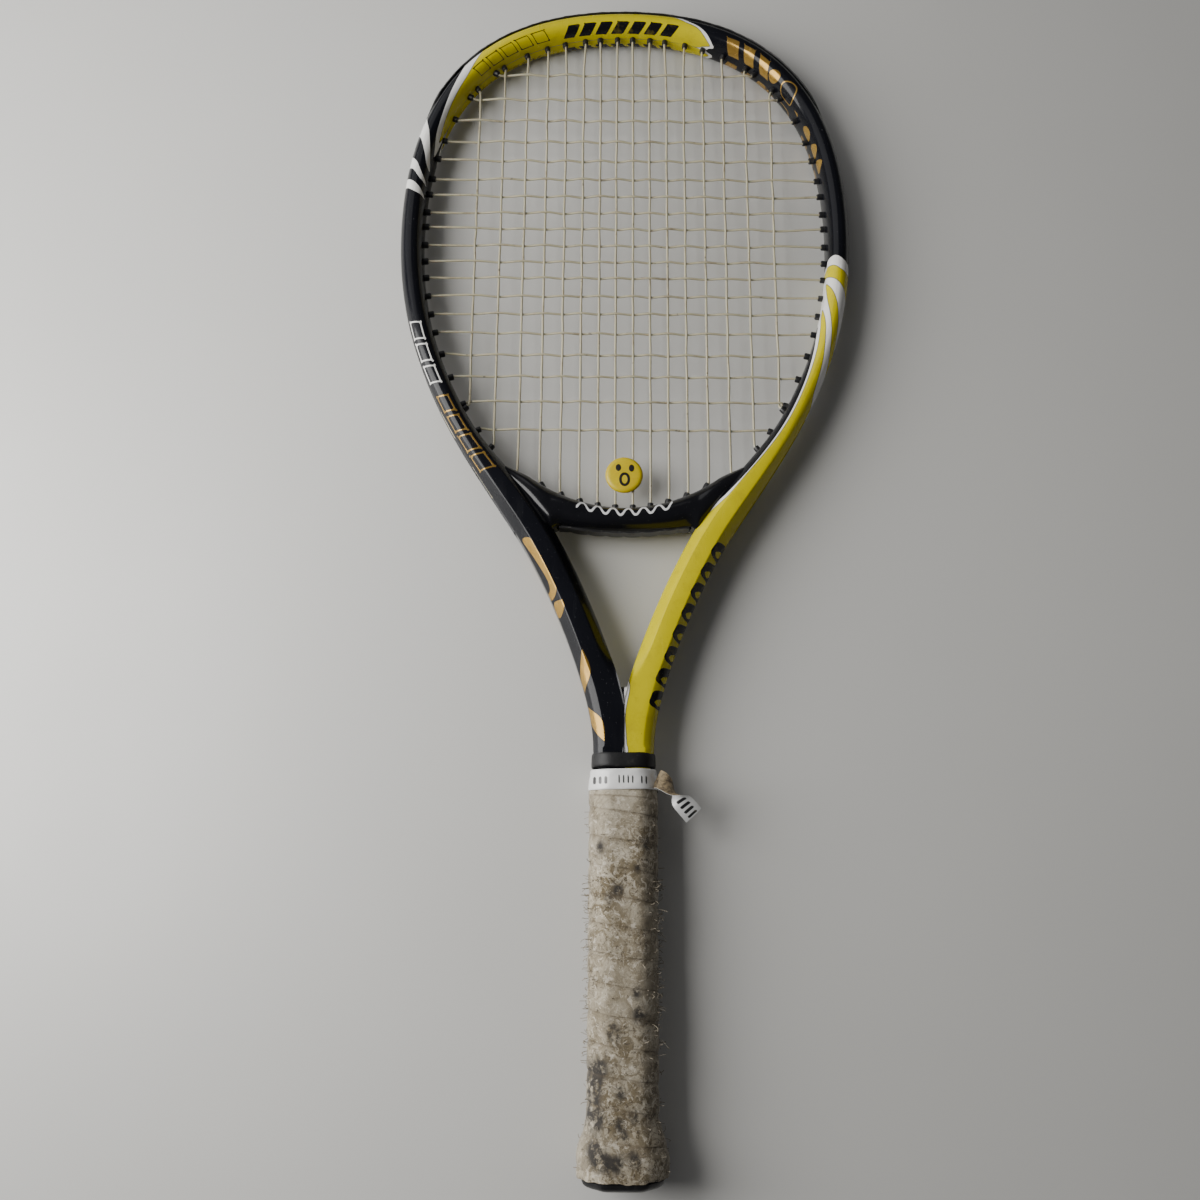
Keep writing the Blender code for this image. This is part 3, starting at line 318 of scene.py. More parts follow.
GOLD_SHAPES = (
    ((-450, .05), (-452, .22), (-458, .28), (-469, .31), (-480, .32), (-485.5, .24), (-488.5, .06),
     (-487, -.12), (-484.5, -.02), (-483, .1), (-477, .14), (-463, .10)),
    ((-490.5, .05), (-491.5, .32), (-491.5, .32), (-495.5, .31), (-499.5, .06), (-497, -.12)),
    ((-521, .37), (-521, .37), (-530, .40), (-536, .24), (-543, .02), (-543, .02), (-537, .0), (-529, .10)),
    ((-551, -.02), (-551, -.02), (-560, .28), (-571.5, .33), (-571.5, .33), (-566, .08), (-559, -.10)),
    ((69.5, .60), (69.5, .60), (78.5, .55), (78.5, .55), (82.5, 1.5), (82.5, 1.5), (74, 1.6), (74, 1.6)),
    ((82.5, .56), (82.5, .56), (91, .54), (91, .54), (95.5, 1.45), (95.5, 1.45), (87.5, 1.5), (87.5, 1.5)),
    ((95.5, .55), (95.5, .55), (104, .58), (104, .58), (109.5, 1.5), (109.5, 1.5), (101.5, 1.5),
     (101.5, 1.5)),
    ((108, .84), (111, .66), (115.5, .66), (117, .88), (114.5, 1.06), (110.5, 1.04)),
    ((138, 1.1), (138, 1.1), (145, .98), (145, .98), (146, 1.45), (146, 1.45)),
    ((154.5, 1.2), (157, .93), (162.5, .92), (166, 1.25), (163, 1.7), (157, 1.7)),
    ((169.5, 1.15), (172.5, .88), (177, .92), (180, 1.25), (177.5, 1.6), (172, 1.6)),
    ((182, 1.1), (185, .84), (188.5, .92), (191.5, 1.2), (189, 1.6), (184, 1.6)),
)


def slanted_frames(first, step, count, low, high, lean):
    """Outlines of a row of slanted windows."""
    rows = []
    for i in range(count):
        start = first + i * step
        left, right = start, start + .74 * step
        corners = ((left, low), (right, low), (right + lean, high), (left + lean, high))
        rows.append(tuple(c for corner in corners for c in (corner, corner)))
    return rows


WHITE_FRAMES = slanted_frames(-299.0, -15.0, 3, .10, .56, -3.0)
GOLD_FRAMES = slanted_frames(-350.0, -14.0, 4, .12, .58, -3.0)
GOLD_RING = [((121, .82), (125, .56), (131, .54), (134.5, .85), (135, 1.3), (131, 1.6), (124, 1.4))]
TIP_FRAMES = slanted_frames(-112.0, 12.0, 5, .64, .97, 2.5)
TIP_BARS = slanted_frames(-38.0, 11.0, 7, .68, 1.12, -5.0)
SCALLOPS = [
    ((c - 6, -1.2), (c - 5.6, -.1), (c - 4, .2), (c, .33 - .02 * (i % 2)), (c + 4, .24), (c + 5.6, -.1),
     (c + 6, -1.2))
    for i, c in enumerate(np.linspace(457.5, 548.0, 8))
]
SCALLOP_EYES = [
    ((c - 1.8, .02), (c + .4, .15), (c + 2.4, .06), (c + .6, -.12)) for c in np.linspace(458.5, 549.0, 8)
]


def edge_distance(points, loop):
    """Distance to a closed outline, less than zero inside it."""
    start, finish = loop, np.roll(loop, -1, axis=0)
    leg = finish - start
    rel = points[:, None] - start[None]
    share = np.clip((rel * leg).sum(2) / np.maximum((leg**2).sum(1), 1e-9), 0, 1)
    away = np.linalg.norm(rel - share[..., None] * leg, axis=2).min(1)
    x, y = points[:, :1], points[:, 1:]
    spans = (start[:, 1] > y) != (finish[:, 1] > y)
    rise = np.where(np.abs(leg[:, 1]) < 1e-9, 1e-9, leg[:, 1])
    crossings = spans & (x < start[:, 0] + (y - start[:, 1]) / rise * leg[:, 0])
    return np.where(crossings.sum(1) % 2 == 1, -away, away)


signed_run = np.concatenate([-RUN[:0:-1], RUN])
station_of = np.concatenate([np.arange(len(RUN) - 1, 0, -1), np.arange(len(RUN))])
FLAT = np.stack([np.repeat(signed_run[:, None], HALF_COUNT, 1), UNROLLED[station_of]], axis=2)


def painted(shapes):
    """Distance of every point of the upper half to the nearest of these shapes' edges."""
    field = np.full(FLAT.shape[:2], FAR)
    for shape in shapes:
        loop = catmull([(run, unroll(run, share)) for run, share in shape], 6, closed=True)
        low, high = loop[:, 0].min() - FAR, loop[:, 0].max() + FAR
        rows = np.flatnonzero((signed_run > low) & (signed_run < high))
        away = edge_distance(FLAT[rows].reshape(-1, 2), loop).reshape(len(rows), HALF_COUNT)
        field[rows] = np.minimum(field[rows], away)
    return field


def over_both_faces(field):
    """The lower half mirrors the upper."""
    return np.concatenate([field, field[:, -2:0:-1]], axis=1)


def tube_rings():
    """Closed sections from the left end of the hairpin, round the tip, to the right end."""
    rings = []
    for side, station in zip(np.sign(signed_run + 1e-6), station_of):
        depth, height = SECTIONS[station].T
        flat = EDGE[station] + INWARD[station] * depth[:, None]
        if EDGE[station, 1] < SEAM_TOP_Y:
            flat[:, 0] = np.maximum(flat[:, 0], SEAM)
        half = np.column_stack([flat[:, 0] * side, flat[:, 1], height])
        rings.append(np.vstack([half, half[-2:0:-1] * (1, 1, -1)]))
    return rings


def frame_paint():
    paint = Finish("frame_paint", Coat_Weight=.18, Coat_Roughness=.04, Specular_IOR_Level=.12)
    wear, soft = paint.grain(420.0, 5.0, .7), paint.grain(38.0, 3.0)
    lemon_edge = paint.stored("lemon")
    lemon = paint.rise(lemon_edge, .09, -.09)

    def filled_and_lined(name, half_line):
        edge = paint.unsigned(paint.stored(name + "_line"))
        line = paint.rise(edge, half_line + .08, half_line - .08)
        return paint.larger(paint.rise(paint.stored(name), .09, -.09), line)

    white, gold = filled_and_lined("white", .42), filled_and_lined("gold", .42)
    marks = filled_and_lined("marks", .26)
    keyline = paint.times(paint.rise(paint.unsigned(lemon_edge), .28, .14), white)
    black_tint = paint.blend(soft, (.0028, .003, .0045), (.0065, .007, .010))
    white_tint = paint.blend(soft, (.60, .59, .56), (.76, .75, .73))
    lemon_tint = paint.blend(soft, (.44, .37, .0004), (.57, .49, .001))
    foil = paint.grain(60.0, 2.0, .5, stretch=(1, .25, 1))
    gold_tint = paint.blend(foil, (.17, .09, .013), (.44, .275, .065))
    colour = paint.blend(white, black_tint, white_tint)
    colour = paint.blend(lemon, colour, lemon_tint)
    colour = paint.blend(keyline, colour, (.12, .11, .06))
    colour = paint.blend(gold, colour, gold_tint)
    colour = paint.blend(marks, colour, (.006, .006, .007))
    rubbed = paint.stored("rubbed")
    chips = paint.plus(paint.grain(900.0, 3.0, .75, warp=1.5), paint.times(rubbed, .24))
    chips = paint.rise(chips, .775, .80)
    pits = paint.times(paint.rise(paint.grain(1500.0, 2.0), .70, .73), paint.rise(wear, .52, .6))
    chips = paint.larger(chips, pits)
    bare = paint.blend(paint.larger(lemon, white), (.16, .16, .17), (.022, .020, .016))
    colour = paint.blend(chips, colour, bare)
    grime = paint.times(paint.rise(paint.grain(130.0, 4.0, .7), .52, .74), .35)
    colour = paint.blend(paint.times(grime, lemon), colour, (.30, .23, .02))
    scratch = paint.rise(paint.grain(260.0, 3.0, .6, stretch=(1, .12, 1)), .5, .75)
    rough = paint.plus(paint.times(scratch, .16), .20)
    rough = paint.plus(rough, paint.times(chips, .4))
    film = paint.plus(paint.larger(marks, gold), white)
    return paint.show(colour, rough, paint.times(gold, .6), relief=((wear, .02), (film, .05), (chips, -.12)))


mesh = skin("frame_tube_body", tube_rings())
lemon = painted([LEMON_TIP, LEMON_RIGHT, LEMON_BAND, LEMON_BLADE])
layers = {
    "lemon": lemon,
    "white": painted([WHITE_TIP, WHITE_RIGHT, *WHITE_SPIKES]),
    "gold": painted(GOLD_SHAPES),
    "marks": np.maximum(painted(SCALLOPS + TIP_BARS), -painted(SCALLOP_EYES)),
    "white_line": painted(WHITE_FRAMES),
    "gold_line": painted(GOLD_FRAMES + GOLD_RING),
    "marks_line": painted(TIP_FRAMES),
}
for name, field in layers.items():
    store(mesh, name, over_both_faces(field))
outer_corner = np.exp(-((np.arange(HALF_COUNT) - 7) / 3.0) ** 2)
most_at_tip = .35 + .65 * (np.abs(signed_run) < 190)
store(mesh, "rubbed", over_both_faces(outer_corner[None] * most_at_tip[:, None]))
PAINT = frame_paint()
fit("frame_tube_body", mesh, PAINT, "racket", "painted_frame", "frame_tube")

# ------------------------------------------------------------------ crotch of the throat
# Where the two arms meet, the laminate is filled out to a rounded saddle, painted like its arms:
# black to the left of the seam and lemon to the right.

CROTCH_Y, CROTCH_REACH, CROTCH_RADIUS = 250.8, 6.2, 6.4
SADDLE = ((14, 0.0), (14, 10.3), (3.2, 11.0), (1.6, 10.4), (.5, 8.8), (0, 6.0), (0, 0.0))
LEMON_START_X = 2.2


def saddle(side):
    """Half of the filling: its upper edge is a circle's arc, buried in the arm at its end."""
    across = np.linspace(0.0, CROTCH_REACH, 15)
    top = CROTCH_Y + CROTCH_RADIUS - np.sqrt(CROTCH_RADIUS**2 - across**2)
    rings = []
    for x, y in zip(across, top):
        upper = catmull([(y - drop, height) for drop, height in SADDLE], 4)
        ring = np.vstack([upper, upper[-2:0:-1] * (1, -1)])
        rings.append([(side * (x + SEAM), py, pz) for py, pz in ring])
    return rings


for name, side in (("left_crotch", -1), ("right_crotch", 1)):
    mesh = skin(name, saddle(side))
    across = np.array([v.co.x for v in mesh.vertices]) / MM
    shown = {"white": np.full(len(across), -FAR), "lemon": LEMON_START_X - across} if side > 0 else {}
    for field in layers:
        store(mesh, field, shown.get(field, np.full(len(across), FAR)))
    fit(name, mesh, PAINT, "racket", "painted_frame")

# ------------------------------------------------------------------ throat bridge
# A short moulded beam that closes the hoop above the throat. It is laid up with the tube, drilled
# for ten mains, and sprayed gloss black with a plain white ornament on its face.

BRIDGE_LOW_Y, BRIDGE_HIGH_Y, BRIDGE_HALF, BRIDGE_ARCH = 340.5, 354.5, 68.0, .0026
FILLET_X, FILLET_RUN, FILLET_DROP, FILLET_SLOPE = 34.0, 8.0, 5.0, 1.24
END_TAPER, END_DROP = 14.0, 5.0
HEAD_INNER_HALF = 121.7
THROAT_STRIP_HALF = 37.0
WAVE_Y, WAVE_ARCH, WAVE_HEIGHT, WAVE_LENGTH, WAVE_HALF = 350.2, .0062, 2.3, 8.6, 27.3


def bridge_low(x):
    """The lower edge: a shallow arch, a fillet, then a climb inside the arm."""
    over = max(abs(x) - FILLET_X, 0.0)
    past, share = max(over - FILLET_RUN, 0.0), min(over / FILLET_RUN, 1.0)
    arch = BRIDGE_ARCH * min(abs(x), FILLET_X + FILLET_RUN) ** 2
    return BRIDGE_LOW_Y + arch - FILLET_DROP * share * share + FILLET_SLOPE * past


def bridge_high(x):
    """The upper edge: the head's inner oval, dipping into the tube at its ends."""
    taper = max(abs(x) - BRIDGE_HALF + END_TAPER, 0.0) / END_TAPER
    oval = WIDEST_Y - (WIDEST_Y - BRIDGE_HIGH_Y) * math.sqrt(1 - (x / HEAD_INNER_HALF) ** 2)
    return oval - END_DROP * taper**1.5


def bridge_ring(x):
    low, high = bridge_low(x), bridge_high(x)
    past_strip = float(smooth_step(abs(x), THROAT_STRIP_HALF - .6, THROAT_STRIP_HALF + .4))
    beam_half = 11.0 - 2.5 * float(smooth_step(abs(x), 44, BRIDGE_HALF))
    half = half_section(high - low, beam_half, GROOVE_DEPTH * (1 - past_strip), .35, 0.0)
    ring = np.vstack([half, half[-2:0:-1] * (1, -1)])
    return [(x, low + depth, height) for depth, height in ring]


def bridge_finish():
    gloss = Finish("bridge_lacquer", Coat_Weight=.2, Coat_Roughness=.05, Specular_IOR_Level=.2)
    soft = gloss.grain(45.0, 3.0)
    colour = gloss.blend(soft, (.0028, .003, .004), (.007, .007, .009))
    ornament = gloss.rise(gloss.unsigned(gloss.stored("ornament")), .72, .56)
    ornament = gloss.times(ornament, gloss.rise(gloss.stored("reach"), .1, -.1))
    colour = gloss.blend(ornament, colour, (.62, .62, .62))
    dust = gloss.rise(gloss.grain(1300.0, 2.0), .70, .74)
    colour = gloss.blend(gloss.times(dust, .5), colour, (.10, .10, .10))
    rough = gloss.plus(gloss.times(gloss.grain(300.0, 3.0), .16), .10)
    return gloss.show(colour, rough, relief=((gloss.grain(500.0, 3.0), .015), (ornament, .05)))


bridge_x = np.linspace(-BRIDGE_HALF, BRIDGE_HALF, 150)
rings = np.array([bridge_ring(x) for x in bridge_x])
mesh = skin("throat_bridge_body", rings)
x, y = rings[:, :, 0], rings[:, :, 1]
swing = 2 * math.pi / WAVE_LENGTH
wave = WAVE_Y + WAVE_ARCH * x * x + WAVE_HEIGHT * np.sin(swing * x)
ornament = (y - wave) / np.sqrt(1 + (WAVE_HEIGHT * swing * np.cos(swing * x)) ** 2)
ornament[rings[:, :, 2] < 0] = FAR
store(mesh, "ornament", ornament)
store(mesh, "reach", np.abs(x) - WAVE_HALF)
fit("throat_bridge_body", mesh, bridge_finish(), "racket", "black_lacquer", "throat_bridge")

# ------------------------------------------------------------------ bumper and grommet strips
# Black nylon mouldings: a thin strip lies in the tube's groove and carries a barrel for every
# string, pushed through the tube. The bumper at the tip is wider, and scuffed by the court.

BARREL_PROUD, BARREL_RADIUS, BARREL_BORE = 2.9, 1.85, .95
BARREL_LEAN, BRIDGE_FAN, BRIDGE_MAINS = .35, .007, 10
BEND_CLEAR = .6  # how far inside its barrel's mouth a string starts to bend
BUMPER_RUN, BUMPER_FADE, FLANGE_START = 160.6, 26.0, 4.6
STRIP_END_RUN, RIDGE_STEP = 424.0, 2.6
LAST_STRUNG_RUN = 470.0
MAIN_SPACING, CROSS_SPACING, MIDDLE_CROSS_Y = 10.1, 11.0, 523.5
MAIN_PLACES = np.arange(16) - 7.5
MAIN_X = MAIN_SPACING * MAIN_PLACES + .0365 * MAIN_PLACES**3
CROSS_PLACES = 9.0 - np.arange(19)
CROSS_Y = MIDDLE_CROSS_Y + CROSS_SPACING * CROSS_PLACES + .029 * CROSS_PLACES**3


class Barrel:
    """A hole through the tube or the bridge: its mouth inside, its outward axis and its length."""

    def __init__(self, mouth, axis, reach, where, run):
        self.mouth, self.axis, self.reach = np.array(mouth), np.array(axis), reach
        self.where, self.run = where, run

    def at(self, distance, z=0.0):
        x, y = self.mouth + self.axis * distance
        return np.array((x, y, z))


def hoop_barrel(side, target, direction, low, high):
    """The barrel on one side of the hoop whose string leaves it along the string's own line."""
    line = 0 if direction[0] == 0 else 1
    wanted = target
    for _ in range(4):
        i = low + int(np.argmin(np.abs(INNER[low:high, line] - wanted)))
        axis = (1 - BARREL_LEAN) * -INWARD[i] * (side, 1.0) + BARREL_LEAN * np.array(direction, float)
        axis /= np.linalg.norm(axis)
        reach = WIDTH[i] / float(axis @ (-INWARD[i] * (side, 1.0)))
        where = "left" if side < 0 else "right"
        barrel = Barrel(INNER[i] * (side, 1.0), axis, reach, where, RUN[i])
        bend = barrel.at(-BARREL_PROUD - BEND_CLEAR)[line]
        wanted += target - (bend * side if line == 0 else bend)
    return barrel


def bridge_barrel(x):
    """The barrel through the bridge for the main at x, fanned in towards the middle."""
    foot_x = x * (1 - BRIDGE_FAN * abs(x))
    foot, mouth_x = np.array((foot_x, bridge_low(foot_x))), x
    for _ in range(3):
        mouth = np.array((mouth_x, bridge_high(mouth_x)))
        reach = float(np.linalg.norm(foot - mouth))
        barrel = Barrel(mouth, (foot - mouth) / reach, reach, "bridge", foot_x)
        mouth_x += x - barrel.at(-BARREL_PROUD - BEND_CLEAR)[0]
    return barrel


last = int(np.argmin(np.abs(RUN - LAST_STRUNG_RUN)))
MAIN_ENDS = []
for x, place in zip(MAIN_X, MAIN_PLACES):
    side = math.copysign(1.0, x)
    top = hoop_barrel(side, abs(x), (0, 1), 0, WIDEST)
    on_bridge = abs(place) < BRIDGE_MAINS / 2
    low = bridge_barrel(x) if on_bridge else hoop_barrel(side, abs(x), (0, -1), WIDEST, last)
    MAIN_ENDS.append((low, top))
CROSS_ENDS = [tuple(hoop_barrel(s, y, (s, 0), 0, last) for s in (-1.0, 1.0)) for y in CROSS_Y]
BARRELS = [barrel for pair in MAIN_ENDS + CROSS_ENDS for barrel in pair]
TURNS = np.linspace(0, 2 * math.pi, 21)[:-1]


def barrel_rings(barrel):
    """Out of the tube, over a rounded rim and back down the bore."""
    along = np.array((*barrel.axis, 0.0))
    across, up = np.array((-along[1], along[0], 0.0)), np.array((0.0, 0.0, 1.0))
    start = min(5.0, .45 * barrel.reach)
    bore, outer, rim = BARREL_BORE, BARREL_RADIUS, -BARREL_PROUD
    profile = ((start, bore), (start, outer - .1), (.3, outer - .1), (-.4, outer), (rim + .7, outer),
               (rim + .2, outer - .12), (rim, outer - .45), (rim + .1, bore + .15), (rim + .8, bore))
    swell = 1 + .05 * math.sin(barrel.reach * 9 + barrel.mouth[0])
    return [[barrel.at(distance) + radius * swell * (math.cos(t) * across + math.sin(t) * up) for t in TURNS]
            for distance, radius in profile]


def outline_ring(run, profile):
    """A profile of (depth, height) set across the tube's outline at one run."""
    i = int(np.argmin(np.abs(RUN - abs(run))))
    side = 1.0 if run >= 0 else -1.0
    (x, y), (inward_x, inward_y) = EDGE[i], INWARD[i]
    return [(side * (x + inward_x * d), y + inward_y * d, h) for d, h in profile]


def join(name, meshes):
    """Several meshes as one."""
    bm = bmesh.new()
    for part in meshes:
        bm.from_mesh(part)
        bpy.data.meshes.remove(part)
    mesh = bpy.data.meshes.new(name)
    bm.to_mesh(mesh)
    bm.free()
    return mesh


def nylon_finish():
    nylon = Finish("black_nylon", Specular_IOR_Level=.45)
    scuff = nylon.rise(nylon.grain(240.0, 5.0, .75, stretch=(1, .5, 1)), .56, .70)
    colour = nylon.blend(nylon.grain(80.0), (.0055, .0055, .0058), (.016, .016, .017))
    colour = nylon.blend(nylon.times(scuff, .55), colour, (.11, .105, .095))
    rough = nylon.plus(nylon.times(scuff, .3), .38)
    return nylon.show(colour, rough, relief=((nylon.grain(700.0, 4.0, .7), .05), (scuff, -.05)))


NYLON = nylon_finish()
STRIP = [(2.9, 0), (2.9, 2.2), (2.9, 4.0), (2.7, 4.2), (2.1, 4.2), (1.9, 4.0), (1.9, 2.2), (1.9, 0),
         (1.9, -2.2), (1.9, -4.0), (2.1, -4.2), (2.7, -4.2), (2.9, -4.0), (2.9, -2.2)]
bumper_upper = catmull([(2.9, 0), (2.9, 4.0), (1.2, 4.5), (-.3, 5.2), (.35, 7.2), (.9, 8.2), (.45, 9.0),
                        (-.4, 8.4), (-1.3, 7.0), (-1.6, 5.6), (-1.5, 4.2), (.2, 3.8), (1.9, 3.2),
                        (1.9, 0)], 2)
BUMPER = np.vstack([bumper_upper, bumper_upper[-2:0:-1] * (1, -1)])


def bumper_rings():
    """The flange narrows to a point over its last stretch and is rubbed thin here and there."""
    rings = []
    for run in np.arange(-BUMPER_RUN, BUMPER_RUN + 1, TUBE_STEP):
        left = float(smooth_step(BUMPER_RUN - abs(run), 0, BUMPER_FADE))
        worn = .12 * math.sin(run * .31) + .10 * math.sin(run * .83 + 1) + .06 * math.sin(run * 2.1)
        profile = BUMPER.copy()
        height = np.abs(BUMPER[:, 1])
        narrowed = FLANGE_START + (height - FLANGE_START) * (.12 + .88 * left) + worn * left
        profile[:, 1] = np.where(height > FLANGE_START, np.sign(BUMPER[:, 1]) * narrowed, BUMPER[:, 1])
        profile[:, 0] = np.where(profile[:, 0] < 0, profile[:, 0] * (.25 + .75 * left), profile[:, 0])
        rings.append(outline_ring(run, profile))
    return rings


def strip_rings(side):
    """A side strip has a low ridge at every third step."""
    rings = []
    for run in np.arange(BUMPER_RUN + .5, STRIP_END_RUN, RIDGE_STEP):
        ridge = .18 if int(run / RIDGE_STEP) % 3 == 0 else 0.0
        rings.append(outline_ring(side * run, [(d - ridge * (d < 2), h) for d, h in STRIP]))
    return rings


def throat_rings():
    """The strip under the bridge is scalloped between its barrels."""
    rings = []
    for x in np.linspace(-THROAT_STRIP_HALF, THROAT_STRIP_HALF, 112):
        scallop = 2.6 + .55 * abs(math.sin(x / MAIN_SPACING * math.pi)) ** .7
        low = bridge_low(x)
        rings.append([(x, low + d - scallop * (d <= 2.0), h * (1 if d > 2.4 else 1.02)) for d, h in STRIP])
    return rings


def barrels_on(where, low=-999, high=999):
    return [skin("barrel", barrel_rings(barrel), ring_of_rings=True) for barrel in BARRELS
            if barrel.where == where and low <= barrel.run < high]


tip_barrels = barrels_on("left", high=BUMPER_RUN) + barrels_on("right", high=BUMPER_RUN)
for name, rings, barrels in (
    ("bumper_guard", bumper_rings(), tip_barrels),
    ("left_grommet_strip", strip_rings(-1), barrels_on("left", low=BUMPER_RUN)),
    ("right_grommet_strip", strip_rings(1), barrels_on("right", low=BUMPER_RUN)),
    ("throat_grommet_strip", throat_rings(), barrels_on("bridge")),
):
    mesh = join(name + "_moulding", [skin(name, rings)] + barrels)
    fit(name + "_moulding", mesh, NYLON, "racket", "grommet_nylon", name)

# ------------------------------------------------------------------ strings
# Two lengths of 1.4 mm multifilament: the mains run up and down, the crosses are woven over and
# under them, and each turns round outside the hoop in its strip. Play has dirtied the middle.

STRING_RADIUS = .70
MAIN_LIFT, CROSS_LIFT, LOOP_HEIGHT = .48, .86, 1.6
rng = np.random.default_rng(11)


def tube(name, path, radius, sides=10):
    """A round string along a path in millimetres."""
    path = np.asarray(path, float)
    along = np.gradient(path, axis=0)
    along /= np.linalg.norm(along, axis=1)[:, None]
    up = np.array((0.0, 0.0, 1.0))
    across = np.cross(along, up)
    across /= np.linalg.norm(across, axis=1)[:, None]
    over = np.cross(across, along)
    turns = np.linspace(0, 2 * math.pi, sides + 1)[:-1]
    rings = (path[:, None] + radius * (np.cos(turns)[None, :, None] * across[:, None]
                                       + np.sin(turns)[None, :, None] * over[:, None]))
    return skin(name, rings)


def outside(run, where, z):
    """A point in the channel outside a strip."""
    if where == "bridge":
        return (run, bridge_low(run) + .6, z)
    side = -1.0 if where == "left" else 1.0
    x, y = (np.interp(run, RUN, EDGE[:, i] + INWARD[:, i] * .95) for i in (0, 1))
    return (side * x, y, z)


def exit_run(barrel):
    """The run where a barrel's string comes out."""
    if barrel.where == "bridge":
        return barrel.run
    x, y, _ = barrel.at(barrel.reach - .95)
    return float(RUN[np.argmin((EDGE[:, 0] - abs(x)) ** 2 + (EDGE[:, 1] - y) ** 2)])


def loop_round(first, second, z):
    """The short stretch in the channel from one barrel to the next."""
    a, b = exit_run(first), exit_run(second)
    if first.where != second.where:
        return [outside(a, first.where, z), outside(b, second.where, z)]
    return [outside(a + (b - a) * share, first.where, z) for share in (.12, .35, .65, .88)]


def passes(barrel, z, inside_first):
    """The stretch through one barrel."""
    points = [barrel.at(-BARREL_PROUD - BEND_CLEAR), barrel.at(0), barrel.at(barrel.reach * .6, z * .4),
              barrel.at(barrel.reach - 1.4, z * .9)]
    return points if inside_first else points[::-1]


def bed_line(fixed, moving, start, finish, lift, signs, wander, mains):
    """The woven stretch of one string across the bed, between two barrels' mouths."""
    points = []
    for place, sign, shift in zip(moving, signs, wander):
        if start < place < finish:
            level = fixed + shift
            points.append((level, place, sign * lift) if mains else (place, level, sign * lift))
    return points


def whole_route(ends, across, lift, z, mains):
    """One string from its first pass to its last; across holds the strings that it weaves through."""
    first_sign = -1.0 if mains else 1.0
    places = np.array(across)
    order = np.argsort(places)
    route = []
    for k, pair in enumerate(ends):
        fixed = MAIN_X[k] if mains else CROSS_Y[k]
        line = 1 if mains else 0
        low, high = (b.at(-BARREL_PROUD - BEND_CLEAR)[line] for b in pair)
        signs = np.array([first_sign if (k + i) % 2 == 0 else -first_sign for i in range(len(across))])
        wander = rng.normal(0, .12, len(across)) + rng.normal(0, .22)
        bed = bed_line(fixed, places[order], low + 1.2, high - 1.2, lift, signs[order], wander, mains)
        pair_now, bed = (pair, bed) if k % 2 == 0 else (pair[::-1], bed[::-1])
        route += passes(pair_now[0], z, False) + bed + passes(pair_now[1], z, True)
        if k + 1 < len(ends):
            following = ends[k + 1][1 if k % 2 == 0 else 0]
            route += loop_round(pair_now[1], following, z)
    return route


def string_finish():
    gut = Finish("string_gut", Coat_Weight=.25, Coat_Roughness=.25, Subsurface_Weight=.08,
                 Subsurface_Scale=.001)
    colour = gut.blend(gut.grain(25.0, 3.0), (.33, .30, .20), (.47, .43, .30))
    from_middle = gut.put("VectorMath", {0: gut.place()}, out=1, operation="LENGTH")
    centre = gut.less(1.0, gut.rise(from_middle, .16, .31))
    dirt = gut.rise(gut.grain(55.0, 5.0, .75), .54, .70)
    colour = gut.blend(gut.times(dirt, .55), colour, (.12, .085, .05))
    specks = gut.rise(gut.grain(260.0, 3.0, .6), .66, .72)
    specks = gut.times(specks, gut.plus(gut.times(centre, .4), .3))
    colour = gut.blend(specks, colour, (.05, .035, .025))
    twist = gut.grain(1500.0, 2.0, .5)
    return gut.show(colour, gut.plus(gut.times(dirt, .2), .34), relief=((twist, .05),))


GUT = string_finish()
for name, ends, across, lift, z, mains in (
    ("main_string", MAIN_ENDS, CROSS_Y, MAIN_LIFT, LOOP_HEIGHT, True),
    ("cross_string", CROSS_ENDS, MAIN_X, CROSS_LIFT, -LOOP_HEIGHT, False),
):
    path = catmull(whole_route(ends, across, lift, z, mains), 5)
    fit(name + "_bed", tube(name, path, STRING_RADIUS), GUT, "racket", "string", name, crease=0)

# ------------------------------------------------------------------ vibration dampener
# A moulded yellow rubber button, pushed between the two middle mains below the last cross. Two
# ovals and a ring are printed on its face.

DAMPENER_Y, DAMPENER_RADIUS = 375.0, 10.8


def lathe(profile, count):
    """Rings round the Z axis, or round any axis once they are turned."""
    turns = np.linspace(0, 2 * math.pi, count + 1)[:-1]
    return np.array([[(r * math.cos(t), r * math.sin(t), h) for t in turns] for r, h in profile])


def dampener_profile():
    """From the middle of the face, over the rim and the neck, to the middle of the back."""
    face = [(DAMPENER_RADIUS * .78 * s, 3.9 - .25 * s * s) for s in np.linspace(.02, 1, 22)]
    rim = catmull([face[-1], (9.6, 3.35), (10.5, 2.6), (10.8, 1.9), (10.75, 1.5), (10.2, 1.3), (9.6, 1.3)], 4)
    back = catmull([(4.2, 1.3), (4.0, 0), (4.2, -1.3), (6.6, -1.35), (7.1, -1.9), (6.8, -2.8), (.3, -2.9)], 3)
    return face + [tuple(p) for p in rim[1:]] + [tuple(p) for p in back]


def rubber_finish():
    rubber = Finish("dampener_rubber", Subsurface_Weight=.12, Subsurface_Scale=.002,
                    Specular_IOR_Level=.4)
    colour = rubber.blend(rubber.grain(160.0, 5.0, .7), (.43, .315, .0005), (.60, .46, .002))
    grime = rubber.rise(rubber.grain(330.0, 5.0, .75), .56, .72)
    colour = rubber.blend(rubber.times(grime, .5), colour, (.33, .18, .01))
    printed = rubber.rise(rubber.stored("printed"), .06, -.06)
    colour = rubber.blend(printed, colour, (.008, .007, .006))
    rough = rubber.plus(rubber.times(grime, .2), .42)
    return rubber.show(colour, rough, relief=((rubber.grain(900.0, 3.0), .04), (printed, .08)))


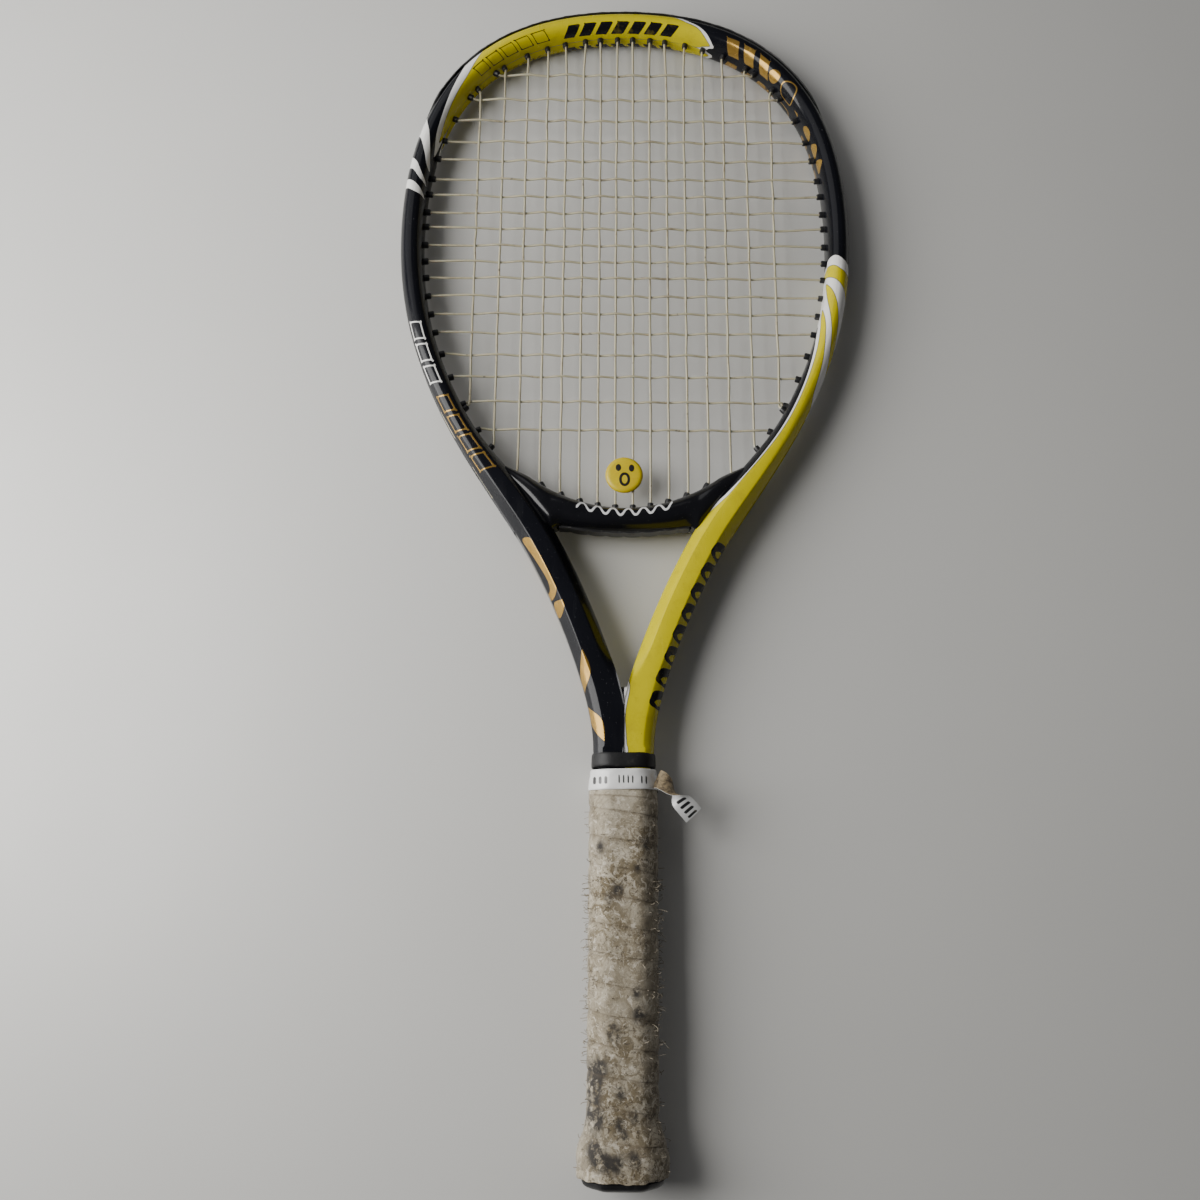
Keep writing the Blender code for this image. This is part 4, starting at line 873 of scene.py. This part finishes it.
rings = lathe(dampener_profile(), 120)
flat = rings[:, :, :2].reshape(-1, 2)
ovals = []
for cx, cy, a, b, ring in ((-3.4, 3.9, 1.6, 2.2, 0), (4.2, 3.6, 1.6, 2.2, 0), (.2, -3.2, 2.4, 3.4, .8)):
    t = np.linspace(0, 2 * math.pi, 49)[:-1]
    away = edge_distance(flat, np.column_stack([cx + a * np.cos(t), cy + b * np.sin(t)]))
    ovals.append(np.abs(away) - ring if ring else away)
printed = np.min(ovals, axis=0)
printed[rings[:, :, 2].ravel() < 3] = FAR
rings = rings + (0.0, DAMPENER_Y, 0.0)
mesh = skin("dampener_button", rings)
store(mesh, "printed", printed)
fit("dampener_button", mesh, rubber_finish(), "dampener", "yellow_rubber", "vibration_dampener", crease=0)

# ------------------------------------------------------------------ pallets, staples and tack
# Two foam half-shells are moulded on the hairpin to give the handle its eight sides. Steel
# staples hold the butt cap to them and a tack starts the base grip; all lie under the grips.


def foam_finish():
    foam = Finish("handle_foam", Specular_IOR_Level=.2)
    pores = foam.cells(900.0)
    colour = foam.blend(foam.grain(120.0), (.40, .31, .18), (.56, .46, .30))
    # Painted shade: the pores are darkened.
    colour = foam.blend(foam.rise(pores, .3, .1), colour, (.22, .16, .09))
    return foam.show(colour, foam.rise(pores, -1.5, .6), relief=((pores, .2),))


def steel_finish():
    steel = Finish("staple_steel", Metallic=1.0)
    tarnish = steel.rise(steel.grain(500.0, 5.0, .7), .45, .7)
    colour = steel.blend(tarnish, (.52, .52, .53), (.22, .19, .16))
    return steel.show(colour, steel.plus(steel.times(tarnish, .35), .22),
                      relief=((steel.grain(900.0, 3.0, .6, stretch=(1, 1, .1)), .03),))


FOAM, STEEL = foam_finish(), steel_finish()
for node, finish in (("upper_handle_pallet", FOAM), ("lower_handle_pallet", FOAM),
                     ("left_butt_staple", STEEL), ("right_butt_staple", STEEL), ("grip_tack", STEEL)):
    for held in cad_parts[node].material_slots:
        held.material = finish

# ------------------------------------------------------------------ butt cap and trap door
# A flared cap of black polypropylene is pushed over the pallets' end and stapled. A round snap-in
# door of the same plastic closes it and pulls straight off.

PALLET, GRIP_BASE = (15.9, 13.9), 1.5
BUTT_HALF, LIP_HALF = (23.3, 21.0), (20.6, 18.3)
WRAP = 2.5


def flare(y):
    """How far the handle has opened out towards the butt, from 0 to 1."""
    return smooth_step(-np.asarray(y, float), -34.0, -13.0)


def handle_size(y, above):
    """Half width and half height of a layer that lies this far above the pallets."""
    swell = flare(y)
    return tuple(PALLET[i] + above + swell * (BUTT_HALF[i] - WRAP - PALLET[i]) for i in (0, 1))


def eight_sided(turns, half_width, half_height, corner=16.0):
    """The radius of a soft-cornered octagon at each angle."""
    a, b = np.asarray(half_width, float), np.asarray(half_height, float)
    c, s = np.abs(np.cos(turns)), np.abs(np.sin(turns))
    flats = (c / a, s / b, (.724 * c + .690 * s) / (.724 * a + .3135 * b))
    return sum(flat**corner for flat in flats) ** (-1 / corner)


CAP_TURNS = np.linspace(0, 2 * math.pi, 97)[:-1]


def handle_ring(y, half_width, half_height, corner=16.0, turns=CAP_TURNS):
    radius = eight_sided(turns, half_width, half_height, corner)
    return [(r * math.cos(t), y, r * math.sin(t)) for r, t in zip(radius, turns)]


def round_ring(y, radius, turns=CAP_TURNS):
    return [(radius * math.cos(t), y, radius * math.sin(t)) for t in turns]


def cap_rings():
    """From the door's hole, over the lip and the side, and back along the inside."""
    hole = ((4.2, 8.8), (1.9, 8.8), (1.9, 10.8), (.35, 10.8), (.05, 11.1))
    rings = [round_ring(y, radius) for y, radius in hole]
    for y, less in ((0, 5.2), (.05, 4.4), (.3, 3.7), (1.0, 2.0), (1.6, 1.1), (2.4, .45), (3.4, .05), (4.2, 0),
                    (5, .5)):
        rings.append(handle_ring(y, LIP_HALF[0] - less, LIP_HALF[1] - less, 24))
    for y in (7, 10, 13, 17, 21, 25, 29, 33):
        rings.append(handle_ring(y, *handle_size(y, -.4)))
    return rings + [handle_ring(33, 14.2, 12.2), handle_ring(4.2, 14.2, 12.2)]


def plastic_finish():
    plastic = Finish("black_polypropylene", Specular_IOR_Level=.45)
    rub = plastic.rise(plastic.grain(170.0, 5.0, .7, stretch=(1, .6, 1)), .52, .72)
    colour = plastic.blend(plastic.grain(60.0), (.006, .006, .0065), (.014, .014, .015))
    colour = plastic.blend(plastic.times(rub, .5), colour, (.06, .058, .052))
    return plastic.show(colour, plastic.plus(plastic.times(rub, .25), .34),
                        relief=((plastic.cells(1600.0), .04), (rub, -.03)))


def door_profile():
    return [(.2, -.4), (3.2, -.4), (3.5, -.75), (5.6, -.75), (5.9, -.4), (6.8, -.35), (7.2, -.05), (9.6, 0),
            (10.2, -.15), (10.5, -.45), (10.5, -1.55), (8.5, -1.6), (8.45, -4.6), (8.1, -5.3), (.2, -5.3)]


PLASTIC = plastic_finish()
cap = skin("butt_cap", cap_rings(), ring_of_rings=True)
fit("butt_cap_moulding", cap, PLASTIC, "racket", "black_plastic", "butt_cap", crease=32)
door = lathe(door_profile(), 72)
door = np.stack([door[:, :, 0], -door[:, :, 2], door[:, :, 1]], axis=2)
fit("trap_door_disc", skin("trap_door", door), PLASTIC, "trap_door", "black_plastic", "trap_door", crease=32)

# ------------------------------------------------------------------ base grip and its tape
# A perforated synthetic-leather strip is tacked at the butt and wound up the pallets; black tape
# holds its end. The overgrip hides it all but for its edges.


def wound(lower, upper, pitch, width, above, wall, stack, jag, per_turn, across, seed):
    """A strip wound up the handle: each turn's lower edge lies on the turn before it."""
    draw = np.random.default_rng(seed)
    waves = draw.uniform(.5, 1.5, (14, 2))
    phase = draw.uniform(0, 2 * math.pi, (14, 2))

    def ripple(turn, y, fine):
        total = np.zeros(np.broadcast(turn, y).shape)
        for i, ((u, v), (p, q)) in enumerate(zip(waves, phase)):
            turned = (2 + i) * u * turn * fine + p
            total = total + np.sin(turned + (.12 + .05 * i) * v * y + q) / (1 + .35 * i)
        return total

    turns = np.arange(-1.0, (upper - lower) / pitch - .15, 1.0 / per_turn)
    angle = 2 * math.pi * turns[:, None]
    w = np.linspace(0, 1, across)[None, :] ** 1.25
    low = lower + pitch * turns[:, None]
    floor = lower + jag * (.6 + .22 * ripple(angle, low * 0, 2.6))
    ceiling = upper - .15 * jag * (1 + ripple(angle, low * 0, 2.2))
    edge = low + jag * .16 * ripple(angle, low * 0 + 3, 1.9)
    bottom = np.minimum(np.maximum(edge, floor), ceiling - 1.5)
    top = np.maximum(np.minimum(low + width, ceiling), bottom + 1.5)
    y = bottom + (top - bottom) * w
    stacked = 1 - smooth_step(y - low, width - pitch - .4, width - pitch + 2.2)
    lift = stack * stacked * (low + y * 0 > lower - pitch * .98)
    a, b = handle_size(y, above)
    radius = eight_sided(angle + y * 0, a, b, 13.0)
    radius = radius + lift + .055 * jag * ripple(angle, y, 1.0)
    thick = wall * (.55 + .45 * np.minimum(1, w * (1 + 0 * angle) * 9))
    outer = np.stack([(radius + thick) * np.cos(angle), y, (radius + thick) * np.sin(angle)], axis=2)
    inner = np.stack([radius * np.cos(angle), y, radius * np.sin(angle)], axis=2)
    rings = np.concatenate([outer, inner[:, ::-1]], axis=1)
    return rings, float(np.linalg.norm(np.diff(outer[:, across // 2], axis=0), axis=1).sum())


def leather_finish():
    leather = Finish("base_grip_leather", Specular_IOR_Level=.35)
    holes = leather.rise(leather.cells(420.0), .22, .30)
    colour = leather.blend(leather.grain(150.0), (.010, .010, .010), (.030, .029, .028))
    return leather.show(colour, leather.plus(leather.times(leather.grain(300.0), .2), .5),
                        relief=((holes, .25), (leather.grain(1200.0), .05)))


def tape_finish():
    tape = Finish("black_cloth_tape", Specular_IOR_Level=.3)
    colour = tape.blend(tape.grain(200.0), (.012, .012, .012), (.035, .034, .033))
    return tape.show(colour, tape.plus(tape.times(tape.grain(500.0), .2), .6),
                     relief=((tape.grain(1800.0), .05),))


rings, _ = wound(lower=5.2, upper=186.0, pitch=22.0, width=25.0, above=.05, wall=1.0, stack=.35, jag=.3,
                 per_turn=96, across=12, seed=3)
mesh = skin("base_grip_wrap", rings)
fit("base_grip_wrap", mesh, leather_finish(), "racket", "base_grip", "base_grip", crease=50)
TAPE_PROFILE = ((177.5, 1.75), (186, 1.75), (190, 1.4), (196.5, 1.0), (196.5, .7), (190, 1.1), (186, 1.5),
                (177.5, 1.5))
sleeve = [handle_ring(y, PALLET[0] + up, PALLET[1] + up) for y, up in TAPE_PROFILE]
mesh = skin("base_grip_tape", sleeve, ring_of_rings=True)
fit("base_grip_tape_band", mesh, tape_finish(), "racket", "finishing_tape", "base_grip_tape", crease=50)

# ------------------------------------------------------------------ overgrip
# A thin felted polyurethane tape, once white, wound up over the base grip with half its width
# overlapping. Sweat and clay have stained it brown, and its edges have fluffed and frayed.

OVERGRIP_PITCH, OVERGRIP_WIDTH, OVERGRIP_ACROSS = 14.6, 25.0, 22
FIBRE_COUNT = 300


def cloth_finish():
    cloth = Finish("overgrip_cloth", Specular_IOR_Level=.25, Sheen_Weight=.25, Sheen_Roughness=.5)
    base = cloth.rise(cloth.grain(120.0, 5.0, .7), .35, .65)
    colour = cloth.blend(base, (.24, .205, .145), (.42, .375, .29))
    worn = cloth.rise(cloth.grain(34.0, 4.0, .65), .36, .60)
    stain = cloth.rise(cloth.grain(150.0, 7.0, .78, warp=.9), .47, .53)
    browned = cloth.times(stain, cloth.plus(cloth.times(worn, .6), .32))
    colour = cloth.blend(browned, colour, (.105, .078, .038))
    speckle = cloth.rise(cloth.grain(480.0, 6.0, .8), .54, .58)
    speckle = cloth.times(speckle, cloth.plus(cloth.times(worn, .6), .3))
    colour = cloth.blend(speckle, colour, (.042, .030, .017))
    pale = cloth.times(cloth.rise(cloth.grain(210.0, 6.0, .78, warp=1.2), .56, .60), .62)
    colour = cloth.blend(pale, colour, (.56, .51, .42))
    smudge = cloth.rise(cloth.stored("smudge"), .0, 1.0)
    broken = cloth.rise(cloth.grain(150.0, 6.0, .78), .38, .52)
    colour = cloth.blend(cloth.times(smudge, broken), colour, (.028, .024, .02))
    # Painted shade along each turn's overlap, darkest just under the next turn's lower edge.
    seam = cloth.rise(cloth.stored("seam"), 0.0, 1.0)
    colour = cloth.blend(cloth.times(seam, .62), colour, (.10, .075, .045))
    felt, lumps, waves = cloth.grain(1700.0, 4.0, .7), cloth.grain(330.0, 5.0, .7), cloth.grain(90.0, 3.0)
    return cloth.show(colour, cloth.plus(cloth.times(stain, -.12), .88),
                      relief=((felt, .12), (lumps, .35), (waves, .5)))


# Dark smudges: (angle round the handle in degrees from the right, distance from the butt, size)
SMUDGES = ((132, 165, 3.0), (100, 143, 3.4), (118, 139, 2.2), (68, 93, 2.6), (64, 82, 4.0), (105, 73, 3.5),
           (112, 76, 2.4), (150, 52, 6.0), (140, 48, 5.0), (128, 57, 4.5), (95, 46, 3.0), (146, 37, 5.5),
           (130, 33, 4.0), (72, 35, 3.0), (96, 31, 2.6), (155, 30, 4.0), (118, 15, 4.5), (132, 20, 4.0),
           (98, 14, 3.5), (75, 16, 3.0), (88, 26, 2.0), (52, 167, 2.2), (66, 154, 1.8), (250, 60, 6.0),
           (285, 90, 5.0), (230, 120, 4.0), (300, 40, 5.0))


def smudged(points):
    """How dark the smudges make each point, from 0 to 1."""
    field = np.zeros(len(points))
    turn = np.degrees(np.arctan2(points[:, 2], points[:, 0])) % 360
    for angle, y, size in SMUDGES:
        gap = (turn - angle + 180) % 360 - 180
        field += np.exp(-((gap * .33) ** 2 + ((points[:, 1] - y) * .8) ** 2) / size**2)
    return np.clip(1.25 * field, 0, 1)


rings, wound_length = wound(lower=4.6, upper=196.5, pitch=OVERGRIP_PITCH, width=OVERGRIP_WIDTH,
                            above=GRIP_BASE + .12, wall=.55, stack=.55, jag=1.0, per_turn=110,
                            across=OVERGRIP_ACROSS, seed=8)
mesh = skin("overgrip_wrap", rings)
store(mesh, "smudge", smudged(rings.reshape(-1, 3)))
# Painted shade where the turns overlap: a dark band just below the next turn's lower edge, and a fainter one
# along the tape's own lower edge.
from_edge = (np.linspace(0, 1, OVERGRIP_ACROSS) ** 1.25) * OVERGRIP_WIDTH
past_next = from_edge - OVERGRIP_PITCH
shade_under_next = np.exp(-np.clip(-past_next, 0, 9) / .7) * (past_next <= 1.0)
shade_at_own_edge = np.exp(-from_edge / .35) * .5
line = np.maximum(shade_under_next, shade_at_own_edge)
store(mesh, "seam", np.tile(np.concatenate([line, line[::-1]]), len(rings)))
wrap = fit("overgrip_wrap", mesh, cloth_finish(), "racket", "overgrip", "overgrip", crease=60)


def frayed_fibres():
    """Loose fibres that stand off the tape, most of them low on both sides."""
    draw = np.random.default_rng(21)
    meshes = []
    for _ in range(FIBRE_COUNT):
        right = draw.random() < .55
        y = draw.choice([draw.uniform(60, 150), draw.uniform(8, 185)])
        turn = math.radians(draw.normal(8, 26) if right else draw.normal(172, 26))
        a, b = handle_size(y, WRAP + .1)
        radius = float(eight_sided(np.array(turn), a, b))
        start = np.array((radius * math.cos(turn), y, radius * math.sin(turn)))
        out = np.array((math.cos(turn), 0, math.sin(turn)))
        side = draw.normal(0, 1, 3) * (.6, 1.0, .6)
        reach = draw.uniform(.9, 3.6)
        path = catmull([start - out * .4,
                        start + out * reach * .35 + side * .3,
                        start + out * reach * .7 + side * .9,
                        start + out * reach * (.2 + draw.random()) + side * draw.uniform(.9, 1.8)], 4)
        meshes.append(tube("fibre", path, draw.uniform(.09, .2), 5))
    return join("overgrip_fibres", meshes)


def fibre_finish():
    fibre = Finish("overgrip_fibre", Specular_IOR_Level=.2)
    colour = fibre.blend(fibre.grain(120.0), (.17, .14, .10), (.38, .34, .27))
    return fibre.show(colour, fibre.rise(fibre.grain(300.0), -2.0, .8), relief=((fibre.grain(2000.0), .02),))


fit("overgrip_fibres", frayed_fibres(), fibre_finish(), "racket", "overgrip", crease=0)

# ------------------------------------------------------------------ finishing tape
# White vinyl tape holds the overgrip's end with one turn and a bit. Its last stretch has peeled
# off on the right, twisted over and hangs down, showing its tan adhesive side and then its face.

BAND_TURNS = np.linspace(0, 2 * math.pi, 289)[:-1]
BAND_PROFILE = ((195.0, 3.15), (196.4, 3.25), (198.5, 3.0), (201.0, 2.62), (203.5, 2.3), (205.2, 2.15),
                (205.4, 1.7), (201.0, 2.2), (198.5, 2.6), (195.2, 2.75))
BAR_LOW, BAR_HIGH = 197.4, 201.6
LINE_LOW, LINE_HIGH = 197.6, 202.2


def vinyl_finish():
    vinyl = Finish("finishing_vinyl", Coat_Weight=.15, Coat_Roughness=.3)
    colour = vinyl.blend(vinyl.grain(90.0, 4.0), (.60, .60, .59), (.72, .72, .71))
    bars = vinyl.rise(vinyl.stored("bars"), .07, -.07)
    colour = vinyl.blend(bars, colour, (.012, .012, .013))
    dirt = vinyl.rise(vinyl.grain(420.0, 5.0, .75), .58, .72)
    colour = vinyl.blend(vinyl.times(dirt, .35), colour, (.30, .25, .18))
    glue = vinyl.rise(vinyl.stored("glue"), .45, .55)
    tan = vinyl.blend(vinyl.rise(vinyl.grain(380.0, 4.0, .7), .42, .6), (.26, .20, .115), (.06, .042, .025))
    colour = vinyl.blend(glue, colour, tan)
    rough = vinyl.plus(vinyl.times(glue, .4), .32)
    return vinyl.show(colour, rough, relief=((vinyl.grain(500.0, 3.0), .05), (vinyl.grain(60.0, 2.0), .25)))


def band_ring(y, up):
    radius = eight_sided(BAND_TURNS, PALLET[0] + up, PALLET[1] + up, 11) + .07 * np.sin(BAND_TURNS * 9 + y)
    drift = .25 * np.sin(BAND_TURNS * 2 + .4)
    return np.column_stack([radius * np.cos(BAND_TURNS), y + drift, radius * np.sin(BAND_TURNS)])


def smoothed(rings, detail):
    """Rings of a closed section, with more between them."""
    rings = np.array(rings)
    return catmull(rings.reshape(len(rings), -1), detail, closed=True).reshape(-1, *rings.shape[1:])


rings = smoothed([band_ring(y, up) for y, up in BAND_PROFILE], 2)
mesh = skin("finishing_band", rings, ring_of_rings=True)
points = rings.reshape(-1, 3)
bars = np.full(len(points), FAR)
printed_bars = [(x, .8, BAR_LOW, BAR_HIGH) for x in (-15.6, -12.6, -9.6)]
printed_bars += [(x, .4, LINE_LOW, LINE_HIGH) for x in (-2.6, -.2, 2.2, 4.6, 9.4, 11.8)]
for x, half, low, high in printed_bars:
    box = np.maximum(np.abs(points[:, 0] - x) - half, np.maximum(low - points[:, 1], points[:, 1] - high))
    bars = np.minimum(bars, np.where(points[:, 2] > 5, box, FAR))
store(mesh, "bars", bars)
store(mesh, "glue", np.zeros(len(points)))
VINYL = vinyl_finish()
fit("finishing_band", mesh, VINYL, "racket", "finishing_tape", "overgrip_tape", crease=50)

TAIL_WIDTH, TAIL_WALL, TAIL_ACROSS = 11.0, .3, 11
TAIL_SPINE = ((17.3, 200.6, 9.2), (19.8, 199.5, 12.4), (22.9, 196.9, 14.2), (26.3, 193.6, 14.0),
              (30.2, 189.4, 12.6), (34.0, 185.3, 10.2), (37.2, 181.8, 7.8))
TAIL_TWIST = (172, 158, 138, 108, 32, 8, 0)


def tail_rings():
    """Rings along the peeled stretch, which side of the tape each point is on, and its middle line."""
    spine = catmull(TAIL_SPINE, 8)
    twist = np.radians(catmull(np.array(TAIL_TWIST, float)[:, None], 8)[:, 0])
    along = np.gradient(spine, axis=0)
    along /= np.linalg.norm(along, axis=1)[:, None]
    level = np.cross((0, 0, 1.0), along)
    level /= np.linalg.norm(level, axis=1)[:, None]
    above = np.cross(along, level)
    rings, side_shown = [], []
    for i, centre in enumerate(spine):
        across = math.cos(twist[i]) * level[i] + math.sin(twist[i]) * above[i]
        face = math.cos(twist[i]) * above[i] - math.sin(twist[i]) * level[i]
        curl = .9 * math.sin(i / len(spine) * math.pi)
        ring, glue = [], []
        for sign in (1, -1):
            for s in np.linspace(-1, 1, TAIL_ACROSS) * sign:
                bow = curl * (s * s - .5)
                ring.append(centre + across * s * TAIL_WIDTH / 2 + face * (bow + sign * TAIL_WALL / 2))
                glue.append(0.0 if sign > 0 else 1.0)
        rings.append(ring)
        side_shown.append(glue)
    return np.array(rings), np.array(side_shown), spine


rings, glue, spine = tail_rings()
mesh = skin("finishing_tail", rings)
place = np.arange(len(rings))[:, None] / len(rings)
edge_to_edge = np.linspace(-1, 1, TAIL_ACROSS)
spread = np.concatenate([edge_to_edge, edge_to_edge[::-1]])[None]
stripes = np.full(rings.shape[:2], FAR)
for middle in (.66, .75, .84, .93):
    stripes = np.minimum(stripes, np.maximum(np.abs(place - middle) * 40 - .95, (np.abs(spread) - .55) * 5))
store(mesh, "bars", stripes)
store(mesh, "glue", glue)
tail = fit("finishing_tail", mesh, VINYL, "racket", "finishing_tape", "tape_tail", crease=50)

# ------------------------------------------------------------------ rubber collar
# A black moulded rubber ring is stretched round the shaft just above the finishing tape. Nothing
# but its own grip holds it, so it slides a little up the shaft.

COLLAR_PROFILE = ((206.9, .35), (206.7, 1.0), (207.3, 1.75), (209.0, 1.95), (211.0, 1.85), (213.2, 1.75),
                  (214.4, 1.4), (214.7, .7), (214.2, .3), (210.5, .22))


def collar_ring(y, up):
    radius = eight_sided(BAND_TURNS, 16.2 + .75 * up, 11.4 + up, 9)
    drift = .18 * np.sin(3 * BAND_TURNS)
    return np.column_stack([radius * np.cos(BAND_TURNS), y + drift, radius * np.sin(BAND_TURNS)])


def collar_finish():
    rubber = Finish("collar_rubber", Specular_IOR_Level=.22)
    dust = rubber.rise(rubber.grain(260.0, 5.0, .75), .55, .75)
    colour = rubber.blend(rubber.grain(90.0), (.0055, .0055, .006), (.014, .014, .015))
    colour = rubber.blend(rubber.times(dust, .4), colour, (.06, .056, .05))
    return rubber.show(colour, rubber.plus(rubber.times(dust, .2), .46),
                       relief=((rubber.grain(900.0), .05), (rubber.grain(120.0, 2.0), .2)))


rings = smoothed([collar_ring(y, up) for y, up in COLLAR_PROFILE], 3)
mesh = skin("rubber_collar", rings, ring_of_rings=True)
fit("rubber_collar_ring", mesh, collar_finish(), "collar", "collar_rubber", "rubber_collar", crease=0)

# ------------------------------------------------------------------ table, light and camera
# The racket lies on a pale, slightly glossy table, touching it with its butt flare and its tip. A
# wide soft light stands close by on the left, and a weaker one beyond the tip.

from mathutils import Vector

TABLE_RISE = math.atan2(9.3, 668.0)


def table_finish():
    top = Finish("table_top", Coat_Weight=.15, Coat_Roughness=.3)
    colour = top.blend(top.grain(3.0, 3.0), (.50, .495, .475), (.55, .545, .525))
    rough = top.plus(top.times(top.grain(14.0, 4.0), .2), .34)
    return top.show(colour, rough, relief=((top.grain(260.0, 3.0), .02),))


bpy.ops.mesh.primitive_plane_add(size=7.0, location=(0, -.33, -.0006), rotation=(TABLE_RISE, 0, 0))
table = bpy.context.object
table.name = "table"
table.data.materials.append(table_finish())


def soft_light(name, place, aim, size, power, tint=(1, 1, 1)):
    lamp = bpy.data.lights.new(name, "AREA")
    lamp.shape, lamp.size, lamp.size_y = "RECTANGLE", size[0], size[1]
    lamp.energy, lamp.color = power, tint
    holder = bpy.data.objects.new(name, lamp)
    bpy.context.scene.collection.objects.link(holder)
    holder.location = place
    holder.rotation_euler = (Vector(aim) - Vector(place)).to_track_quat("-Z", "Y").to_euler()


soft_light("window_light", (-.80, .02, .50), (0, 0, 0), (.6, 1.1), 21.0, (1.0, .99, .97))
soft_light("door_light", (-.75, 1.0, .85), (0, .1, 0), (1.3, 1.3), 6.0)
world = bpy.data.worlds.new("room")
world.use_nodes = True
world.node_tree.nodes["Background"].inputs["Color"].default_value = (.30, .30, .305, 1.0)
world.node_tree.nodes["Background"].inputs["Strength"].default_value = .32
bpy.context.scene.world = world

lens = bpy.data.cameras.new("camera")
lens.sensor_width, lens.lens = 36.0, 34.5
camera = bpy.data.objects.new("camera", lens)
bpy.context.scene.collection.objects.link(camera)
camera.location = (-.0123, -.1974, .6488)
camera.rotation_euler = (math.radians(13.93), 0.0, math.radians(.41))
bpy.context.scene.camera = camera

bpy.context.view_layer.update()
